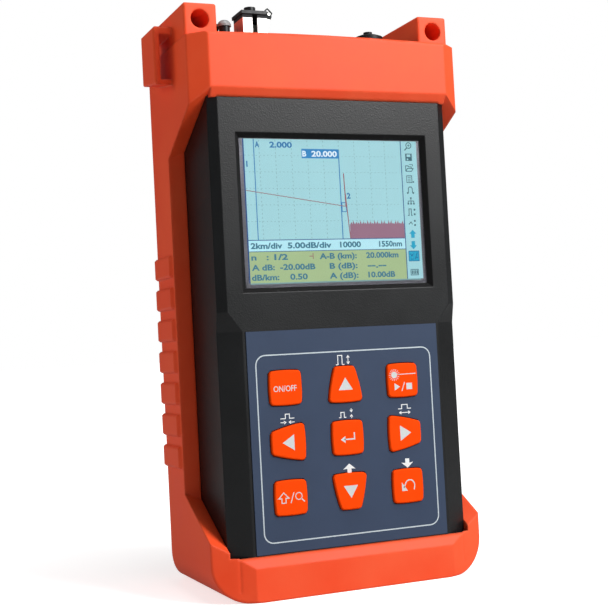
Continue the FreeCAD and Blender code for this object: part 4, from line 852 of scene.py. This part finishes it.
class TESTER_OT_overlay(bpy.types.Operator):
    """Printed film round the keys, with its frame line and pictograms"""
    bl_idname = "tester.overlay"
    bl_label = "Overlay"

    def execute(self, context):
        case = context.scene.tester_case
        dress("keypad_overlay", printed_film().material)
        face = front_of("keypad_overlay")
        line = Sheet(face, PRINT_LIFT)
        line.stroke(rounded(*FRAME_LINE, FRAME_CORNER), case.stroke / MM, True)
        line_ink = print_ink("frame_line_ink", case.line).material
        line.piece("print_frame_line", line_ink, "case", "white_plastic")
        marks = Sheet(face, PRINT_LIFT)
        self.pulse(marks, -2.3, 83.0, 1.7, 3.4, 0.9)
        self.arrow(marks, 1.0, 82.9, 0, 3.6, both=True)
        self.pulse(marks, -2.4, 63.4, 1.4, 1.9, 0.8)
        self.arrow(marks, 1.2, 66.6, 0, -1.6)
        self.arrow(marks, 1.2, 62.9, 0, 1.6)
        self.pulse(marks, -24.4, 64.6, 1.6, 1.6, 1.9)
        self.arrow(marks, -27.2, 63.2, 2.4, 0)
        self.arrow(marks, -21.7, 63.2, -2.4, 0)
        self.pulse(marks, 23.4, 65.0, 2.4, 1.5, 1.5)
        self.arrow(marks, 20.9, 63.5, 5.0, 0, both=True)
        self.block_arrow(marks, -0.8, 44.5, 1)
        self.block_arrow(marks, 23.3, 44.4, -1)
        marks_ink = print_ink("pictogram_ink", case.pictogram).material
        marks.piece("print_pictograms", marks_ink, "case", "white_plastic")
        return {"FINISHED"}

    def pulse(self, sheet, x, z, wide, tall, foot):
        """Square pulse with a foot on each side."""
        left, right = x - wide / 2, x + wide / 2
        sheet.stroke([(left - foot, z), (left, z), (left, z + tall), (right, z + tall), (right, z),
                      (right + foot, z)], 0.32)

    def arrow(self, sheet, x, z, across, up, both=False):
        """Thin arrow from a point; both puts a head at its start as well."""
        run = Vector((across, up))
        along = run.normalized()
        side = Vector((-along.y, along.x))
        tips = [(Vector((x, z)) + run, along)]
        if both:
            tips.append((Vector((x, z)), -along))
        for tip, way in tips:
            back = tip - way * 1.05
            sheet.polygon([tip, back + side * 0.7, back - side * 0.7])
        start = Vector((x, z)) + (along * 0.8 if both else Vector((0.0, 0.0)))
        sheet.stroke([start, Vector((x, z)) + run - along * 0.8], 0.3)

    def block_arrow(self, sheet, x, z, up):
        outline = ((0.0, 1.75), (-2.5, -0.3), (-0.85, -0.1), (-0.85, -1.75), (0.85, -1.75), (0.85, -0.1),
                   (2.5, -0.3))
        sheet.polygon([(x + across, z + up * rise) for across, rise in outline])


class TESTER_OT_keys(bpy.types.Operator):
    """Silicone keys with their legends"""
    bl_idname = "tester.keys"
    bl_label = "Keys"

    def execute(self, context):
        silicone = key_silicone().material
        ink = print_ink("legend_ink", context.scene.tester_case.legend).material
        for node in KEY_NODES:
            dress(node, silicone)
            sheet = Sheet(front_of(node), PRINT_LIFT)
            legend = node.removeprefix("key_")
            getattr(self, legend)(sheet, *middle(node))
            sheet.piece("legend_" + legend, ink, node + "_body", "white_plastic")
        return {"FINISHED"}

    def triangle(self, sheet, x, z, turn):
        """Triangle that points up, turned by an angle in degrees."""
        angle = math.radians(turn)
        points = []
        for across, up in ((0.0, 2.5), (-2.9, -2.1), (2.9, -2.1)):
            points.append((x + across * math.cos(angle) - up * math.sin(angle),
                           z + across * math.sin(angle) + up * math.cos(angle)))
        sheet.polygon(points)

    def up(self, sheet, x, z):
        self.triangle(sheet, x, z, 0)

    def down(self, sheet, x, z):
        self.triangle(sheet, x, z, 180)

    def left(self, sheet, x, z):
        self.triangle(sheet, x, z, 90)

    def right(self, sheet, x, z):
        self.triangle(sheet, x, z, -90)

    def power(self, sheet, x, z):
        sheet.letters("ON/OFF", x - 4.8, x + 4.2, z - 1.3, 2.1, 0.025)

    def run(self, sheet, x, z):
        sun = (x - 3.5, z + 2.1)
        sheet.polygon(circle(sun[0], sun[1], 1.25, 24))
        for number in range(16):
            angle = math.tau * number / 16
            way = Vector((math.cos(angle), math.sin(angle)))
            sheet.stroke([Vector(sun) + way * 1.45, Vector(sun) + way * 2.25], 0.2)
        sheet.stroke([(sun[0] + 1.4, sun[1] + 0.1), (x + 5.6, sun[1] + 0.2)], 0.28)
        sheet.polygon([(x - 3.6, z - 3.8), (x - 3.6, z - 1.0), (x - 1.3, z - 2.4)])
        sheet.stroke([(x - 0.6, z - 4.1), (x + 0.7, z - 0.8)], 0.35)
        sheet.rectangle(x + 1.4, z - 3.6, x + 3.8, z - 1.2)

    def enter(self, sheet, x, z):
        sheet.stroke([(x + 2.5, z + 1.8), (x + 2.5, z - 0.6), (x - 1.6, z - 0.6)], 0.5)
        sheet.polygon([(x - 3.1, z - 0.6), (x - 1.2, z + 0.7), (x - 1.2, z - 1.9)])

    def shift(self, sheet, x, z):
        sheet.stroke([(x - 3.0, z + 2.0), (x - 5.0, z), (x - 3.8, z), (x - 3.8, z - 1.7), (x - 2.2, z - 1.7),
                      (x - 2.2, z), (x - 1.0, z)], 0.36, True)
        sheet.stroke([(x - 0.3, z - 1.9), (x + 1.0, z + 1.9)], 0.35)
        lens = (x + 2.9, z + 0.4)
        sheet.stroke(circle(lens[0], lens[1], 1.25, 20), 0.32, True)
        sheet.stroke([(lens[0] + 0.9, lens[1] - 0.9), (lens[0] + 2.2, lens[1] - 2.2)], 0.4)

    def back(self, sheet, x, z):
        sheet.polygon([(x - 2.8, z + 1.5), (x - 2.8, z - 1.8), (x - 0.4, z - 1.8)])
        arc = []
        for step in range(13):
            angle = math.radians(150.0 - 165.0 * step / 12)
            arc.append((x + 0.6 + 2.0 * math.cos(angle), z + 0.1 + 2.1 * math.sin(angle)))
        sheet.stroke([(x - 1.9, z - 0.6)] + arc + [(x + 2.3, z - 1.6)], 0.42)


class TESTER_OT_ports(bpy.types.Operator):
    """Ports on the top: optical port with its lid and wire spring, round port, power plug"""
    bl_idname = "tester.ports"
    bl_label = "Ports"

    def execute(self, context):
        dress("ferrule_holder", nickel_plate().material)
        dress("sc_sleeve", port_sleeve().material)
        dress("ferrule_sleeve", polished_ceramic().material)
        black = port_plastic("lid_plastic", "17181a", "222426", 0.38).material
        for node in ("sc_lid", "vfl_barrel", "vfl_hinge_ring", "power_socket"):
            dress(node, black)
        dress("vfl_cap", port_plastic("cap_plastic", "7f8284", "a0a3a3", 0.3).material)
        dress("power_plug", port_plastic("plug_rubber", "101214", "1a1c1e", 0.5).material)
        self.spring()
        self.lid_loop()
        return {"FINISHED"}

    def wire(self, name, steel, radius, points, closed=False):
        """Round wire of dark spring steel through points in metres."""
        curve = bpy.data.curves.new(name, "CURVE")
        curve.dimensions = "3D"
        curve.bevel_depth = radius
        curve.bevel_resolution = 3
        spline = curve.splines.new("POLY")
        spline.points.add(len(points) - 1)
        spline.use_cyclic_u = closed
        for point, place in zip(spline.points, points):
            point.co = (*place, 1.0)
        curve.materials.append(rolled_steel(steel, "1c1e1e", "3c3e3e").material)
        made = bpy.data.objects.new(name, curve)
        bpy.context.scene.collection.objects.link(made)
        return made

    def lid_loop(self):
        """Small wire loop that stands on the lid beside its hinge, clear of the spring's coil."""
        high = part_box("sc_lid")[1]
        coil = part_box("lid_spring")[0]
        wire, half, gap = 0.00028, 0.00125, 0.00006
        corner_reach = half * 1.414
        centre = Vector((high.x - 0.0007, coil.y - wire - gap, high.z - corner_reach - wire))
        points = []
        for corner in range(4):
            for step in (-1, 0, 1):
                angle = math.radians(90.0 * corner + 14.0 * step)
                reach = corner_reach * (1.0 if step == 0 else 0.86)
                points.append(centre + Vector((math.cos(angle) * reach, 0.0, math.sin(angle) * reach)))
        loop = self.wire("lid_wire_loop", "spring_steel", wire, points, True)
        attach(loop, "port_lid")

    def spring(self):
        """Coil of wire round the hinge pin, with one leg that hooks down beside the port."""
        low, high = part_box("lid_spring")
        centre = (low + high) / 2
        wire = 0.00017
        radius = (high.z - low.z) / 2 - wire
        turns = 3.5
        steps = int(turns * 20)
        points = []
        for step in range(steps + 1):
            angle = math.tau * turns * step / steps
            along = (high.y - low.y - 2 * wire) * step / steps
            points.append((centre.x + radius * math.cos(angle), low.y + wire + along,
                           centre.z + radius * math.sin(angle)))
        foot = Vector(points[-1])
        for across, down in ((0.0006, 0.0012), (0.0009, 0.0024), (0.0005, 0.0036), (-0.0002, 0.0042)):
            points.append((foot.x + across, foot.y, foot.z - down))
        wound = self.wire("lid_spring_wire", "coil_steel", wire, points)
        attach(wound, "case")
        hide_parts("lid_spring")


OPERATORS = (TESTER_OT_stage, TESTER_OT_boot, TESTER_OT_case, TESTER_OT_inside, TESTER_OT_display,
             TESTER_OT_overlay, TESTER_OT_keys, TESTER_OT_ports)
GROUPS = (("tester_rubber", RubberSettings), ("tester_case", CaseSettings), ("tester_screen", ScreenSettings),
          ("tester_view", ViewSettings))


class TESTER_PT_panel(bpy.types.Panel):
    bl_idname = "TESTER_PT_panel"
    bl_label = "Handheld tester"
    bl_space_type = "VIEW_3D"
    bl_region_type = "UI"
    bl_category = "Tester"

    def draw(self, context):
        for name, group in GROUPS:
            box = self.layout.box()
            for field in group.__annotations__:
                box.prop(getattr(context.scene, name), field)
        for operator in OPERATORS:
            self.layout.operator(operator.bl_idname)


def register():
    for name, group in GROUPS:
        bpy.utils.register_class(group)
        setattr(bpy.types.Scene, name, PointerProperty(type=group))
    for operator in OPERATORS:
        bpy.utils.register_class(operator)
    bpy.utils.register_class(TESTER_PT_panel)


def unregister():
    bpy.utils.unregister_class(TESTER_PT_panel)
    for operator in reversed(OPERATORS):
        bpy.utils.unregister_class(operator)
    for name, group in reversed(GROUPS):
        delattr(bpy.types.Scene, name)
        bpy.utils.unregister_class(group)


def main():
    register()
    for operator in OPERATORS:
        getattr(bpy.ops.tester, operator.bl_idname.split(".")[1])()


if __name__ == "__main__":
    main()
